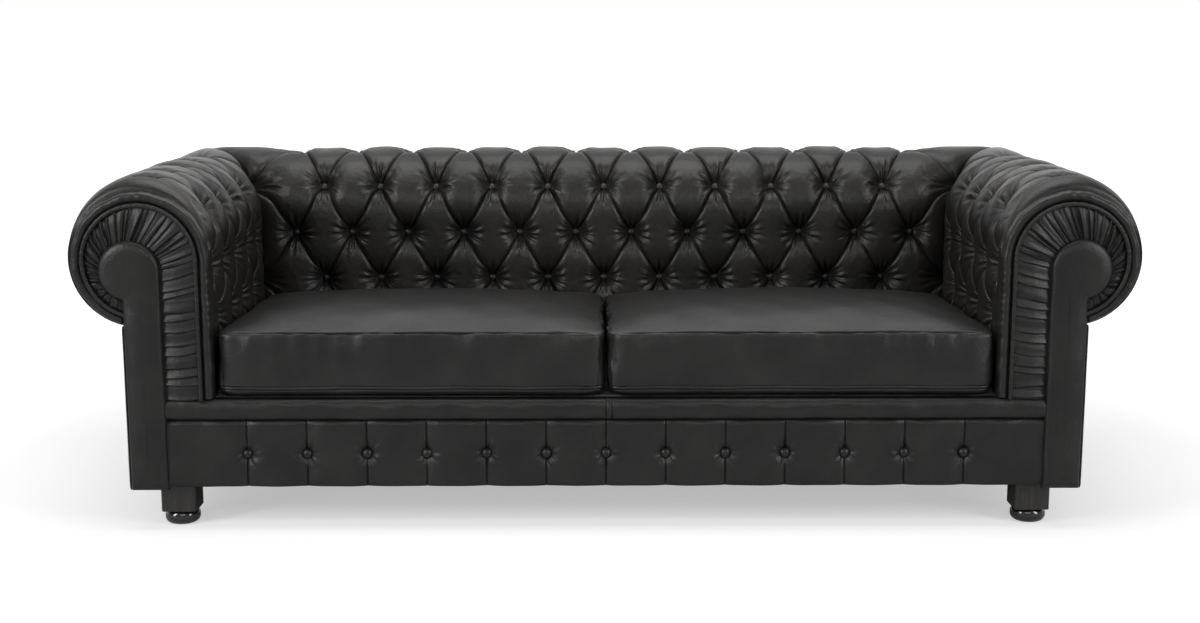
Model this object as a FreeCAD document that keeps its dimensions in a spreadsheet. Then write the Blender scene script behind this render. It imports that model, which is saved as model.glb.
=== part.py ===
import FreeCAD
import Part
import Sketcher

import math
import os

from FreeCAD import Placement, Rotation, Vector

# A three-seat chesterfield sofa in black leather, in millimetres.
# +X is the right-hand side for someone who faces the sofa, which is the sitter's left.
# +Y points to the back, +Z is up, and the origin lies on the floor under the middle.

doc = FreeCAD.newDocument("ChesterfieldSofa")
sheet = doc.addObject("Spreadsheet::Sheet", "Sizes")

DRIVING_SIZES = (
    ("overall_width", 2140, "outside of one arm roll to the outside of the other"),
    ("overall_depth", 900, "front of the arm facings to the rear of the back roll"),
    ("roll_radius", 140, "outside radius of the arm and back rolls"),
    ("roll_centre_height", 578, "height of the middle of the rolls"),
    ("seat_to_back", 620, "front of the arms to the front of the tufted back"),
    ("pad_thickness", 48, "tufted pad at the crown of a diamond"),
    ("crease_thickness", 30, "tufted pad halfway along a crease"),
    ("pit_thickness", 12, "tufted pad under a button"),
    ("pad_edge_thickness", 40, "tufted pad at its lower edge"),
    ("pad_bottom_height", 274, "lower edge of the tufted pads"),
    ("tuft_pitch", 128, "wanted spacing of the button columns"),
    ("first_row_height", 310, "lowest row of buttons, below the seat cushions"),
    ("row_pitch", 108, "spacing of the button rows along the pad"),
    ("pit_length", 24, "flat under a button"),
    ("tuft_end_angle", 190, "where the tufting stops, round the roll from its inner side"),
    ("pad_end_angle", 258, "where the pad ends under the roll"),
    ("button_diameter", 20, "leather-covered button"),
    ("button_height", 8, "leather-covered button"),
    ("mitre_gap", 0.5, "gap between the arm pad and the back pad at the corner"),
    ("fit_gap", 0.5, "gap left round a part that lies in another"),
    ("rim_setback", 2, "front rim inside the crowns of the arm pad"),
    ("rim_width", 24.5, "leather rim outside the piping"),
    ("rim_depth", 25, "front rim, front to back"),
    ("rim_round", 10, "rounding of the rim's outer front edge"),
    ("facing_inset", 28, "piping line inside the outside of the roll"),
    ("facing_drop", 26.5, "middle of the scroll on the arm front below the middle of the roll"),
    ("facing_thickness", 16.5, "smooth centre panel of the arm front"),
    ("border_thickness", 6.5, "pleated border of the arm front"),
    ("head_radius", 61, "round head of the centre panel"),
    ("head_centre_height", 533, "middle of that head"),
    ("stem_width", 76, "straight part of the centre panel"),
    ("stem_inset", 2, "straight part inside the outside arm panel"),
    ("piping_radius", 4.5, "leather piping"),
    ("board_thickness", 18, "plywood scroll board"),
    ("outside_offset", 178, "face of the outside panels behind the crowns of the pad"),
    ("panel_thickness", 6, "covered outside panel"),
    ("panel_bottom_height", 84, "lower edge of the covers"),
    ("frame_bottom_height", 87.5, "underside of the wooden base"),
    ("rail_height", 140, "base rail"),
    ("rail_thickness", 25, "base rail and tack rail"),
    ("top_rail_side", 45, "square rail inside the rolls"),
    ("tack_rail_height", 46, "rail that the lower edge of a pad is tacked to"),
    ("former_thickness", 20, "plywood former inside the rolls"),
    ("arm_former_place", -100, "middle of the arm former, front to back"),
    ("back_former_spacing", 420, "back formers, middle to middle"),
    ("backing_thickness", 3, "hessian and webbing behind the pads"),
    ("corner_block_width", 100, "glued and screwed corner block, sideways"),
    ("corner_block_depth", 75, "corner block, front to back"),
    ("corner_block_height", 72.5, "corner block"),
    ("band_bottom_height", 228, "padded band under the seat cushions"),
    ("band_height", 42, "padded band"),
    ("band_depth", 31, "padded band, front to back"),
    ("band_round", 12, "rounding of the band's front edges"),
    ("lower_panel_depth", 20, "front panel at its edges and pleats"),
    ("lower_panel_crown", 27, "front panel between two pleats"),
    ("lower_panel_pit", 14, "front panel under a button"),
    ("front_button_height", 156, "row of buttons on the front panel"),
    ("front_button_pitch", 121, "spacing of those buttons"),
    ("cushion_gap", 4, "gap between the two seat cushions"),
    ("cushion_side_gap", 5, "gap between a cushion and the arm pad"),
    ("cushion_back_gap", 5, "gap between a cushion and the back pad"),
    ("cushion_front_setback", 15, "front of the cushions behind the arm front"),
    ("cushion_bottom_height", 271.5, "underside of the seat cushions"),
    ("lower_seam_height", 294, "lower seam of the cushion border"),
    ("upper_seam_height", 404, "upper seam of the cushion border"),
    ("cushion_crown", 46, "rise of the cushion top above its seam"),
    ("cushion_bulge", 6, "swell of the cushion border between its seams"),
    ("cushion_draw_in", 6, "cushion sides drawn in between the corners"),
    ("cover_thickness", 2, "leather of the cushion cover"),
    ("spring_wire", 4, "wire of the zigzag springs"),
    ("spring_spacing", 140, "springs, middle to middle"),
    ("spring_width", 60, "zigzag spring over its bends"),
    ("spring_pitch", 36, "one run of the zigzag to the next"),
    ("clip_width", 20, "spring clip"),
    ("clip_depth", 14, "spring clip, front to back"),
    ("insulator_thickness", 4, "felt over the springs"),
    ("deck_pad_thickness", 24, "foam of the seat deck"),
    ("deck_cloth_thickness", 3, "platform cloth over the deck foam"),
    ("foot_block_side", 72, "square upper part of a foot"),
    ("foot_block_round", 8, "rounded corners of that block"),
    ("bun_diameter", 71, "turned bun foot"),
    ("bun_height", 30, "turned bun foot"),
    ("bun_round", 13, "rounding of the bun foot"),
    ("foot_inset_side", 93, "middle of a foot in from the outside arm panel"),
    ("front_foot_inset", 71, "middle of a front foot behind the arm front"),
    ("rear_foot_inset", 68, "middle of a rear foot in front of the outside back panel"),
    ("bolt_diameter", 8, "bolt that holds a foot"),
    ("bolt_bottom_height", 12, "lower end of that bolt"),
    ("bolt_top_height", 140, "upper end of that bolt"),
    ("dust_cover_thickness", 1, "cloth under the sofa"),
    ("dust_cover_inset", 12, "that cloth inside the outside panels"),
)


class Size:
    """A length that carries both its number and the sheet expression that gives it."""

    def __init__(self, text, value):
        self.text = text
        self.value = value

    def combined(self, other, sign, value):
        return Size("(" + self.text + sign + as_size(other).text + ")", value)

    def __add__(self, other):
        return self.combined(other, " + ", self.value + as_size(other).value)

    def __sub__(self, other):
        return self.combined(other, " - ", self.value - as_size(other).value)

    def __mul__(self, other):
        return self.combined(other, " * ", self.value * as_size(other).value)

    def __truediv__(self, other):
        return self.combined(other, " / ", self.value / as_size(other).value)

    def __neg__(self):
        return Size("(0 - " + self.text + ")", -self.value)


def as_size(number):
    if isinstance(number, Size):
        return number
    return Size(repr(float(number)), float(number))


sizes = {}
for row, (alias, number, meaning) in enumerate(DRIVING_SIZES, start=1):
    sheet.set("A" + str(row), meaning)
    sheet.set("B" + str(row), str(number))
    sheet.setAlias("B" + str(row), alias)
doc.recompute()
for alias, number, meaning in DRIVING_SIZES:
    sizes[alias] = Size("Sizes." + alias, float(sheet.get(alias)))


def size(alias):
    return sizes[alias]


ROOT_HALF = math.sqrt(0.5)
sub_parts = []


def sub_part(piece, name):
    """Gives a finished piece its label, which is also the name of its file."""
    piece.Label = name
    sub_parts.append(piece)
    return piece


def box(name, x, y, z):
    """A board between two corners, with x, y and z each a pair of low and high."""
    board = doc.addObject("Part::Box", name)
    for length, axis, (low, high) in zip(("Length", "Width", "Height"), "xyz", (x, y, z)):
        board.setExpression(length, (as_size(high) - low).text)
        board.setExpression("Placement.Base." + axis, as_size(low).text)
    return board


def cylinder(name, axis, centre, radius, low, high):
    """A round bar along one axis, from low to high, round the point centre."""
    bar = doc.addObject("Part::Cylinder", name)
    turns = {
        "x": Rotation(Vector(0, 1, 0), 90),
        "y": Rotation(Vector(1, 0, 0), -90),
        "z": Rotation(),
    }
    bar.Placement = Placement(Vector(), turns[axis])
    bar.setExpression("Radius", as_size(radius).text)
    bar.setExpression("Height", (as_size(high) - low).text)
    places = dict(zip([letter for letter in "xyz" if letter != axis], centre))
    places[axis] = low
    for letter, place in places.items():
        bar.setExpression("Placement.Base." + letter, as_size(place).text)
    return bar


def joined(name, *pieces):
    union = doc.addObject("Part::MultiFuse", name)
    union.Shapes = list(pieces)
    union.Refine = True
    return union


def gathered(name, *pieces):
    group = doc.addObject("Part::Compound", name)
    group.Links = list(pieces)
    return group


def cut(name, base, *tools):
    tool = tools[0] if len(tools) == 1 else gathered(name + "_tools", *tools)
    result = doc.addObject("Part::Cut", name)
    result.Base = base
    result.Tool = tool
    return result


def mirrored(name, source):
    """The same piece on the other side of the sofa's middle plane."""
    copy = doc.addObject("Part::Mirroring", name)
    copy.Source = source
    copy.Normal = Vector(1, 0, 0)
    return copy


def pair(name, right_piece):
    """Files a right-hand piece and its mirror image, and gives back both."""
    left_piece = mirrored("mirrored_" + name, right_piece)
    return sub_part(right_piece, "right_" + name), sub_part(left_piece, "left_" + name)


def fixed_shape(name, shape):
    """A piece whose form is worked out here from the sheet's sizes."""
    piece = doc.addObject("Part::Feature", name)
    piece.Shape = shape
    piece.Placement = Placement()
    return piece


def origin_plane(body, role):
    return [plane for plane in body.Origin.OriginFeatures if plane.Role == role][0]


def outline_sketch(body, role, points):
    """A closed outline of straight lines, each corner held to the sheet's sizes."""
    sketch = body.newObject("Sketcher::SketchObject", body.Name + "_outline")
    sketch.AttachmentSupport = (origin_plane(body, role), [""])
    sketch.MapMode = "FlatFace"
    corners = [(as_size(across), as_size(up)) for across, up in points]
    for index, start in enumerate(corners):
        end = corners[(index + 1) % len(corners)]
        drawn = [Vector(across.value, up.value, 0) for across, up in (start, end)]
        sketch.addGeometry(Part.LineSegment(*drawn), False)

    for index, (across, up) in enumerate(corners):
        previous = (index - 1) % len(corners)
        sketch.addConstraint(Sketcher.Constraint("Coincident", previous, 2, index, 1))
        for kind, place in (("DistanceX", across), ("DistanceY", up)):
            if place.value == 0:
                axis = -2 if kind == "DistanceX" else -1
                sketch.addConstraint(Sketcher.Constraint("PointOnObject", index, 1, axis))
                continue
            number = sketch.addConstraint(Sketcher.Constraint(kind, -1, 1, index, 1, place.value))
            sketch.setExpression("Constraints[" + str(number) + "]", place.text)
    return sketch


# Places shared by several pieces, all worked out from the driving sizes.
inner_half = size("overall_width") / 2 - size("roll_radius") * 2
roll_x = size("overall_width") / 2 - size("roll_radius")
front = -(size("overall_depth") / 2)
back_face = front + size("seat_to_back")
roll_y = back_face + size("roll_radius")
roll_z = size("roll_centre_height")
core_radius = size("roll_radius") - size("pad_thickness")
facing_back = front + size("facing_thickness") + size("fit_gap")
board_back = facing_back + size("board_thickness")
outside_x = inner_half + size("outside_offset")
outside_y = back_face + size("outside_offset")
panel_x = outside_x - size("panel_thickness")
panel_y = outside_y - size("panel_thickness")
frame_z = size("frame_bottom_height")
rail_top = frame_z + size("rail_height")
rail_front = board_back + size("fit_gap")
rail_inside_front = rail_front + size("rail_thickness")
rail_inside_back = panel_y - size("rail_thickness")
rail_inside_side = panel_x - size("rail_thickness")


# Base frame: beech rails, with a cross rail under the middle of the springs.
SIDE_Y = (rail_front, panel_y)
FRAME_Z = (frame_z, rail_top)
rail_span = (-rail_inside_side, rail_inside_side)
pair("side_rail", box("side_rail", (rail_inside_side, panel_x), SIDE_Y, FRAME_Z))
sub_part(box("front_rail_board", rail_span, (rail_front, rail_inside_front), FRAME_Z), "front_rail")
sub_part(box("rear_rail_board", rail_span, (rail_inside_back, panel_y), FRAME_Z), "rear_rail")
cross_half = size("rail_thickness") / 2
cross_z = (frame_z, rail_top - size("spring_width"))
sub_part(
    box("cross_rail_board", (-cross_half, cross_half), (rail_inside_front, rail_inside_back), cross_z),
    "centre_cross_rail",
)

# Feet: a square block over a turned bun, on a bolt that runs up into the corner block.
foot_x = outside_x - size("foot_inset_side")
foot_front_y = front + size("front_foot_inset")
foot_rear_y = outside_y - size("rear_foot_inset")
foot_top = frame_z - size("dust_cover_thickness") - size("fit_gap")
bolt_hole_radius = size("bolt_diameter") / 2 + size("fit_gap")
bolt_z = (size("bolt_bottom_height"), size("bolt_top_height"))
feet = {}
block_shapes = []
corner_shapes = []
bolt_bars = []
for end, foot_y in (("front", foot_front_y), ("rear", foot_rear_y)):
    half = size("foot_block_side") / 2
    for side, sign in (("left", -1), ("right", 1)):
        foot_name = end + "_" + side
        centre = (foot_x * sign, foot_y)
        hole = cylinder(foot_name + "_hole", "z", centre, bolt_hole_radius, bolt_z[0], bolt_z[1])

        body = doc.addObject("PartDesign::Body", foot_name + "_bun_body")
        radius = size("bun_diameter") / 2
        bun_top = size("bun_height")
        bun_corners = [(0, 0), (radius, 0), (radius, bun_top), (0, bun_top)]
        sketch = outline_sketch(body, "XZ_Plane", bun_corners)
        turned = body.newObject("PartDesign::Revolution", foot_name + "_bun_turned")
        turned.Profile = sketch
        turned.ReferenceAxis = (sketch, ["V_Axis"])
        turned.Angle = 360
        doc.recompute()
        rims = []
        for number, edge in enumerate(turned.Shape.Edges, 1):
            if isinstance(edge.Curve, Part.Circle):
                rims.append("Edge" + str(number))
        rounded = body.newObject("PartDesign::Fillet", foot_name + "_bun_rounded")
        rounded.Base = (turned, rims)
        rounded.setExpression("Radius", size("bun_round").text)
        body.setExpression("Placement.Base.x", centre[0].text)
        body.setExpression("Placement.Base.y", centre[1].text)
        sub_part(cut(foot_name + "_bun", body, hole), foot_name + "_bun_foot")

        block = box(
            foot_name + "_block",
            (centre[0] - half, centre[0] + half),
            (centre[1] - half, centre[1] + half),
            (size("bun_height"), foot_top),
        )
        doc.recompute()
        soft_block = doc.addObject("Part::Fillet", foot_name + "_block_rounded")
        soft_block.Base = block
        corner_round = size("foot_block_round").value
        soft_edges = []
        for number, edge in enumerate(block.Shape.Edges, 1):
            if edge.BoundBox.XLength + edge.BoundBox.YLength < corner_round:
                soft_edges.append((number, corner_round, corner_round))
        soft_block.Edges = soft_edges
        block_shapes.append(cut(foot_name + "_block_drilled", soft_block, hole))

        corner_x = (rail_inside_side - size("corner_block_width"), rail_inside_side)
        if side == "left":
            corner_x = (-corner_x[1], -corner_x[0])
        if end == "front":
            corner_y = (rail_inside_front, rail_inside_front + size("corner_block_depth"))
        else:
            corner_y = (rail_inside_back - size("corner_block_depth"), rail_inside_back)
        corner_z = (frame_z, frame_z + size("corner_block_height"))
        corner = box(foot_name + "_corner", corner_x, corner_y, corner_z)
        corner_shapes.append(cut(foot_name + "_corner_drilled", corner, hole))
        bolt_radius = size("bolt_diameter") / 2
        bolt_low = bolt_z[0] + size("fit_gap")
        bolt_bars.append(cylinder(foot_name + "_bolt", "z", centre, bolt_radius, bolt_low, bolt_z[1]))
        feet[foot_name] = hole
sub_part(gathered("foot_block_group", *block_shapes), "foot_blocks")
sub_part(gathered("corner_block_group", *corner_shapes), "corner_blocks")
sub_part(gathered("foot_bolt_group", *bolt_bars), "foot_bolts")

# Black cloth closes the underside between the frame and the feet.
cloth_side = outside_x - size("dust_cover_inset")
cloth_front = front + size("facing_thickness") + size("dust_cover_inset")
cloth_y = (cloth_front, outside_y - size("dust_cover_inset"))
cloth_z = (frame_z - size("dust_cover_thickness"), frame_z)
cloth = box("dust_cloth", (-cloth_side, cloth_side), cloth_y, cloth_z)
sub_part(cut("drilled_dust_cloth", cloth, *feet.values()), "dust_cover")

# Square rails run inside the rolls. The arm rails reach the rear corner, and the back rail butts
# to them.
rail_half = size("top_rail_side") / 2
TOP_RAIL_Z = (roll_z - rail_half, roll_z + rail_half)
top_rail_x = (roll_x - rail_half, roll_x + rail_half)
arm_top_rail = box("arm_top_rail", top_rail_x, (rail_front, roll_y + rail_half), TOP_RAIL_Z)
arm_top_rails = pair("arm_top_rail", arm_top_rail)
back_rail_span = (-(roll_x - rail_half), roll_x - rail_half)
back_top_rail = sub_part(
    box("back_top_rail_bar", back_rail_span, (roll_y - rail_half, roll_y + rail_half), TOP_RAIL_Z),
    "back_top_rail",
)

# Backing of hessian and webbing, and the tack rails at the foot of the pads.
backing_u = size("pad_thickness") + size("fit_gap")
tack_u = backing_u + size("backing_thickness") + size("fit_gap")
BACKING_Z = (size("pad_bottom_height"), roll_z - size("pad_thickness") + size("pit_thickness"))
TACK_Z = (size("pad_bottom_height"), size("pad_bottom_height") + size("tack_rail_height"))
pad_front = board_back + size("fit_gap")
backing_x = inner_half + backing_u
arm_backing_x = (backing_x, backing_x + size("backing_thickness"))
arm_backing = box("arm_backing", arm_backing_x, (pad_front, back_face), BACKING_Z)
pair("arm_backing", arm_backing)
backing_y = back_face + backing_u
backing_span = (-inner_half, inner_half)
sub_part(
    box(
        "back_backing_sheet",
        backing_span,
        (backing_y, backing_y + size("backing_thickness")),
        BACKING_Z,
    ),
    "back_backing",
)
tack_x = inner_half + tack_u
arm_tack_x = (tack_x, tack_x + size("rail_thickness"))
arm_tack_rail = box("arm_tack_rail", arm_tack_x, (pad_front, back_face), TACK_Z)
pair("arm_tack_rail", arm_tack_rail)
tack_y = back_face + tack_u
back_tack_rail = sub_part(
    box("back_tack_rail_bar", backing_span, (tack_y, tack_y + size("rail_thickness")), TACK_Z),
    "back_tack_rail",
)

# Plywood formers carry the rolls, and a post stands on each rear corner block. A former's foot is as
# deep as the space under the roll, and its neck is narrower, where the pad tucks in behind it.
former_radius = core_radius - size("fit_gap")
stem_outer_u = size("outside_offset") - size("panel_thickness") - size("fit_gap")
under_roll = roll_z - size("roll_radius")
FOOT_Z = (rail_top, under_roll - size("fit_gap"))
NECK_Z = (rail_top, roll_z)
former_half = size("former_thickness") / 2
arm_former_y = (size("arm_former_place") - former_half, size("arm_former_place") + former_half)
arm_former_blank = joined(
    "arm_former_blank",
    box("arm_former_foot", (tack_x, inner_half + stem_outer_u), arm_former_y, FOOT_Z),
    box("arm_former_neck", (tack_x, roll_x), arm_former_y, NECK_Z),
    cylinder("arm_former_head", "y", (roll_x, roll_z), former_radius, *arm_former_y),
)
pair("arm_former", cut("arm_former_notched", arm_former_blank, arm_top_rail, arm_tack_rail))
back_former_blanks = []
for number in (-1, 0, 1):
    middle = size("back_former_spacing") * number
    name = "back_former_" + str(number + 2)
    former_x = (middle - former_half, middle + former_half)
    foot = box(name + "_foot", former_x, (tack_y, back_face + stem_outer_u), FOOT_Z)
    neck = box(name + "_neck", former_x, (tack_y, roll_y), NECK_Z)
    head = cylinder(name + "_head", "x", (roll_y, roll_z), former_radius, *former_x)
    back_former_blanks.append(joined(name + "_blank", foot, neck, head))
back_former_blank = gathered("back_former_blanks", *back_former_blanks)
sub_part(cut("back_formers_notched", back_former_blank, back_top_rail, back_tack_rail), "back_formers")
post_side = size("top_rail_side")
post_z = (frame_z + size("corner_block_height"), roll_z - rail_half)
rear_post = box(
    "rear_post",
    (rail_inside_side - post_side, rail_inside_side),
    (rail_inside_back - post_side, rail_inside_back),
    post_z,
)
rear_posts = pair("rear_post", rear_post)

# Roll cores of firm foam fill the space between the formers and meet in a mitre at each rear
# corner.
mitre_reach = size("overall_depth")
mitre_start = size("pad_thickness")
mitre_x = inner_half - mitre_start
mitre_y = back_face - mitre_start


def mitre_block(name, sign, behind):
    """Everything behind, or else outside, the 45 degree plane through a rear corner of the seat.

    It reaches a little over the plane, so that the two pieces that meet there stay apart."""
    block = doc.addObject("Part::Box", name)
    turn = 45 if sign > 0 else 135
    block.Placement = Placement(Vector(), Rotation(Vector(0, 0, 1), turn))
    for length in ("Length", "Width", "Height"):
        block.setExpression(length, mitre_reach.text)
    gap = size("mitre_gap") * ROOT_HALF / 2
    local_y_low = -gap if behind == (sign > 0) else gap - mitre_reach
    shift = as_size(local_y_low)
    block.setExpression("Placement.Base.x", (mitre_x * sign + shift * (-ROOT_HALF)).text)
    block.setExpression("Placement.Base.y", (mitre_y + shift * (ROOT_HALF * sign)).text)
    return block


behind_right = mitre_block("behind_right_mitre", 1, True)
outside_right = mitre_block("outside_right_mitre", 1, False)
outside_left = mitre_block("outside_left_mitre", -1, False)
core_outer = size("overall_depth") / 2
arm_core_bar = cylinder(
    "arm_core_bar", "y", (roll_x, roll_z), former_radius, rail_front, core_outer
)
arm_core = cut("arm_core_cut", arm_core_bar, behind_right, arm_top_rail, arm_former_blank, rear_post)
pair("arm_roll_core", arm_core)
core_half = size("overall_width") / 2
back_core_bar = cylinder(
    "back_core_bar", "x", (roll_y, roll_z), former_radius, -core_half, core_half
)
back_core_tools = [outside_right, outside_left, back_top_rail, back_former_blank]
back_core_tools += [*arm_top_rails, *rear_posts]
sub_part(cut("back_core_cut", back_core_bar, *back_core_tools), "back_roll_core")

# Scroll boards of plywood close the fronts of the arms, behind all that is covered with leather.
facing_radius = size("roll_radius") - size("facing_inset")
facing_x = inner_half - size("rim_setback") + size("rim_width") + facing_radius
facing_z = roll_z - size("facing_drop")
stem_outer = panel_x - size("stem_inset")
stem_x = (stem_outer - size("stem_width"), stem_outer)
head_x = stem_x[0] + size("head_radius")
band_top = size("band_bottom_height") + size("band_height")
border_z_low = band_top + size("fit_gap")


def scroll_shape(name, radius, y, inner_x):
    """A disc on a straight leg down to the seat band, the outline of an arm front."""
    disc = cylinder(name + "_disc", "y", (facing_x, facing_z), radius, y[0], y[1])
    leg = box(name + "_leg", (inner_x, stem_x[1]), y, (border_z_low, facing_z))
    return joined(name, disc, leg)


def scroll_legs(name, radius, y):
    return scroll_shape(name, radius, y, facing_x - radius)


board_y = (facing_back, board_back)
board_radius = facing_radius - size("fit_gap")
board_head = scroll_legs("scroll_board_head", board_radius, board_y)
board_leg = box("scroll_board_leg", stem_x, board_y, (frame_z, border_z_low + size("board_thickness")))
pair("scroll_board", joined("scroll_board_shape", board_head, board_leg))

# The smooth centre panel of each arm front is a keyhole, from the lower edge of the covers to its
# round head.
panel_front_y = (front, facing_back - size("fit_gap"))
head_z = size("head_centre_height")
centre_head = cylinder(
    "facing_head", "y", (head_x, head_z), size("head_radius"), *panel_front_y
)
centre_stem = box("facing_stem", stem_x, panel_front_y, (size("panel_bottom_height"), head_z))
pair("facing_panel", joined("facing_panel_shape", centre_head, centre_stem))

# The pleated border fills the scroll round that panel, down to the seat band.
border_back = facing_back - size("fit_gap")
border_y = (border_back - size("border_thickness"), border_back)
border_disc = scroll_legs("border_scroll", board_radius, border_y)
pair("pleated_border", cut("pleated_border_shape", border_disc, centre_head, centre_stem))

# The rim is the padded leather edge outside the piping, rounded over at the front.
rim_y = (border_y[0], border_y[0] + size("rim_depth"))
rim_radius = facing_radius + size("rim_width")
rim_blank = scroll_legs("rim_blank", rim_radius, rim_y)
doc.recompute()
rim_rounded = doc.addObject("Part::Fillet", "rim_rounded")
rim_rounded.Base = rim_blank
rim_edges = []
for number, edge in enumerate(rim_blank.Shape.Edges, 1):
    middle = edge.valueAt((edge.FirstParameter + edge.LastParameter) / 2)
    at_front = abs(middle.y - rim_y[0].value) < 0.01 and edge.BoundBox.YLength < 0.01
    on_round = isinstance(edge.Curve, Part.Circle)
    on_inner_side = abs(middle.x - (facing_x - rim_radius).value) < 0.01
    if at_front and (on_round or on_inner_side):
        rim_edges.append(number)
rim_round = size("rim_round").value
rim_rounded.Edges = [(number, rim_round, rim_round) for number in rim_edges]
rim_hollow = scroll_legs("rim_hollow", facing_radius, rim_y)
pair("arm_rim", cut("arm_rim_shape", rim_rounded, rim_hollow))

# A leather piping runs round the scroll on the line between the border and the rim.
piping_y = (border_y[0] - size("piping_radius")).value
piping_end_x = (stem_x[1] + size("piping_radius") + size("fit_gap") - facing_x).value
scroll_radius = facing_radius.value
piping_end_angle = -math.acos(piping_end_x / scroll_radius)


def scroll_point(angle):
    across = facing_x.value + scroll_radius * math.cos(angle)
    return Vector(across, piping_y, facing_z.value + scroll_radius * math.sin(angle))


piping_foot = Vector(scroll_point(math.pi).x, piping_y, border_z_low.value)
piping_edges = [Part.LineSegment(piping_foot, scroll_point(math.pi)).toShape()]
piping_turns = ((math.pi, math.pi / 2), (math.pi / 2, 0), (0, piping_end_angle))
for start, end in piping_turns:
    curve = Part.Arc(scroll_point(start), scroll_point((start + end) / 2), scroll_point(end))
    piping_edges.append(curve.toShape())
piping_circle = Part.makeCircle(size("piping_radius").value, piping_foot, Vector(0, 0, 1))
piping_shape = Part.Wire(piping_edges).makePipeShell([Part.Wire(piping_circle)], True, True)
pair("facing_piping", fixed_shape("facing_piping_tube", piping_shape))


# Tufted pads. A pad's section is drawn by travel up the pad, which is the height on its straight
# part and goes on round the roll, and by thickness in front of the frame.
crown = size("pad_thickness").value
crease = size("crease_thickness").value
pit = size("pit_thickness").value
pad_edge = size("pad_edge_thickness").value
half_pit = size("pit_length").value / 2
core_r = core_radius.value
roll_r = size("roll_radius").value
roll_height = roll_z.value
travel_radius = core_r + pit
travel_start = size("pad_bottom_height").value
travel_end = roll_height + math.radians(size("tuft_end_angle").value) * travel_radius
ROW_COUNT = 5
row_travel = []
for number in range(ROW_COUNT):
    row_travel.append(size("first_row_height").value + size("row_pitch").value * number)
# Share of the crown that is left where leather is pulled a little, and along a pleat.
SOFT_CROWN = 0.82
PLEAT = 0.75
EDGE_HEM = 2


def ring_point(angle, radius):
    """Depth and height of a point round the roll, from its inner side over the top."""
    return roll_r - radius * math.cos(angle), roll_height + radius * math.sin(angle)


def pad_point(travel, thickness):
    if travel <= roll_height:
        return crown - thickness, travel
    return ring_point((travel - roll_height) / travel_radius, core_r + thickness)


def row_edges(rows):
    return [row_travel[row] + shift for row in rows for shift in (-half_pit, half_pit)]


last_row_end = row_travel[-1] + half_pit
EVEN_STOPS = [travel_start, travel_start + EDGE_HEM, *row_edges((1, 3)), last_row_end, travel_end]
ODD_STOPS = [travel_start, *row_edges((0, 2, 4)), travel_end]
MIDDLE_STOPS = [(even + odd) / 2 for even, odd in zip(EVEN_STOPS, ODD_STOPS)]
soft = crown * SOFT_CROWN
pleat = crown * PLEAT
TUFT_SECTIONS = {
    "even": (
        EVEN_STOPS,
        [pad_edge, pad_edge, pit, pit, pit, pit, crown, crown],
        [None, soft, None, crown, None, soft, crown],
    ),
    "odd": (
        ODD_STOPS,
        [pad_edge, pit, pit, pit, pit, pit, pit, crown],
        [None, None, crown, None, crown, None, pleat],
    ),
    "middle": (
        MIDDLE_STOPS,
        [pad_edge, crease, crease, crease, crease, crease, crease, crown],
        [None, soft, soft, soft, soft, soft, soft],
    ),
    "plain": (
        MIDDLE_STOPS,
        [pad_edge, soft, soft, soft, soft, soft, crown, crown],
        [None, crown, crown, crown, crown, soft, crown],
    ),
}


def pad_section(kind, place):
    """One closed section of a pad, with place turning depth and height into a point."""
    stops, thicknesses, swells = TUFT_SECTIONS[kind]

    def at(depth_and_height):
        return place(*depth_and_height)

    edges = []
    for index, swell in enumerate(swells):
        start = at(pad_point(stops[index], thicknesses[index]))
        end = at(pad_point(stops[index + 1], thicknesses[index + 1]))
        if swell is None:
            edges.append(Part.LineSegment(start, end).toShape())
            continue
        middle = at(pad_point((stops[index] + stops[index + 1]) / 2, swell))
        edges.append(Part.Arc(start, middle, end).toShape())
    tuft_end = (travel_end - roll_height) / travel_radius
    under = math.radians(size("pad_end_angle").value)
    top = math.pi / 2
    outer = [at(ring_point(angle, roll_r)) for angle in (tuft_end, (tuft_end + under) / 2, under)]
    edges.append(Part.Arc(*outer).toShape())
    edges.append(Part.LineSegment(outer[-1], at(ring_point(under, core_r))).toShape())
    for start, end in ((under, top), (top, 0)):
        inner = [at(ring_point(angle, core_r)) for angle in (start, (start + end) / 2, end)]
        edges.append(Part.Arc(*inner).toShape())
    foot = at((crown, travel_start))
    edges.append(Part.LineSegment(at(ring_point(0, core_r)), foot).toShape())
    edges.append(Part.LineSegment(foot, at(pad_point(travel_start, pad_edge))).toShape())
    return Part.Wire(edges)


def tufted_pad(columns, place_at, plain_before, plain_after):
    """A pad through its columns, with place_at making the place of a section at a distance along it."""
    half_seat = size("button_diameter").value / 2 + size("fit_gap").value * 2
    half_seat = math.copysign(half_seat, columns[-1][0] - columns[0][0])
    sections = [pad_section("plain", place_at(along)) for along in plain_before]
    for index, (along, kind, has_button) in enumerate(columns):
        if index:
            between = (columns[index - 1][0] + along) / 2
            sections.append(pad_section("middle", place_at(between)))
        shifts = (-half_seat, half_seat) if has_button else (0,)
        sections += [pad_section(kind, place_at(along + shift)) for shift in shifts]
    sections += [pad_section("plain", place_at(along)) for along in plain_after]
    return Part.makeLoft(sections, True, True)


def column_places(start, length, last_is_plain):
    """Columns every half pitch from start, even ones at both ends."""
    count = max(2, round(abs(length) / size("tuft_pitch").value))
    step = length / count / 2
    columns = []
    for number in range(2 * count + (0 if last_is_plain else 1)):
        at_end = number == 0 or number == 2 * count
        kind = "odd" if number % 2 else "even"
        columns.append((start + step * number, kind, not at_end))
    return columns, step


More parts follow.
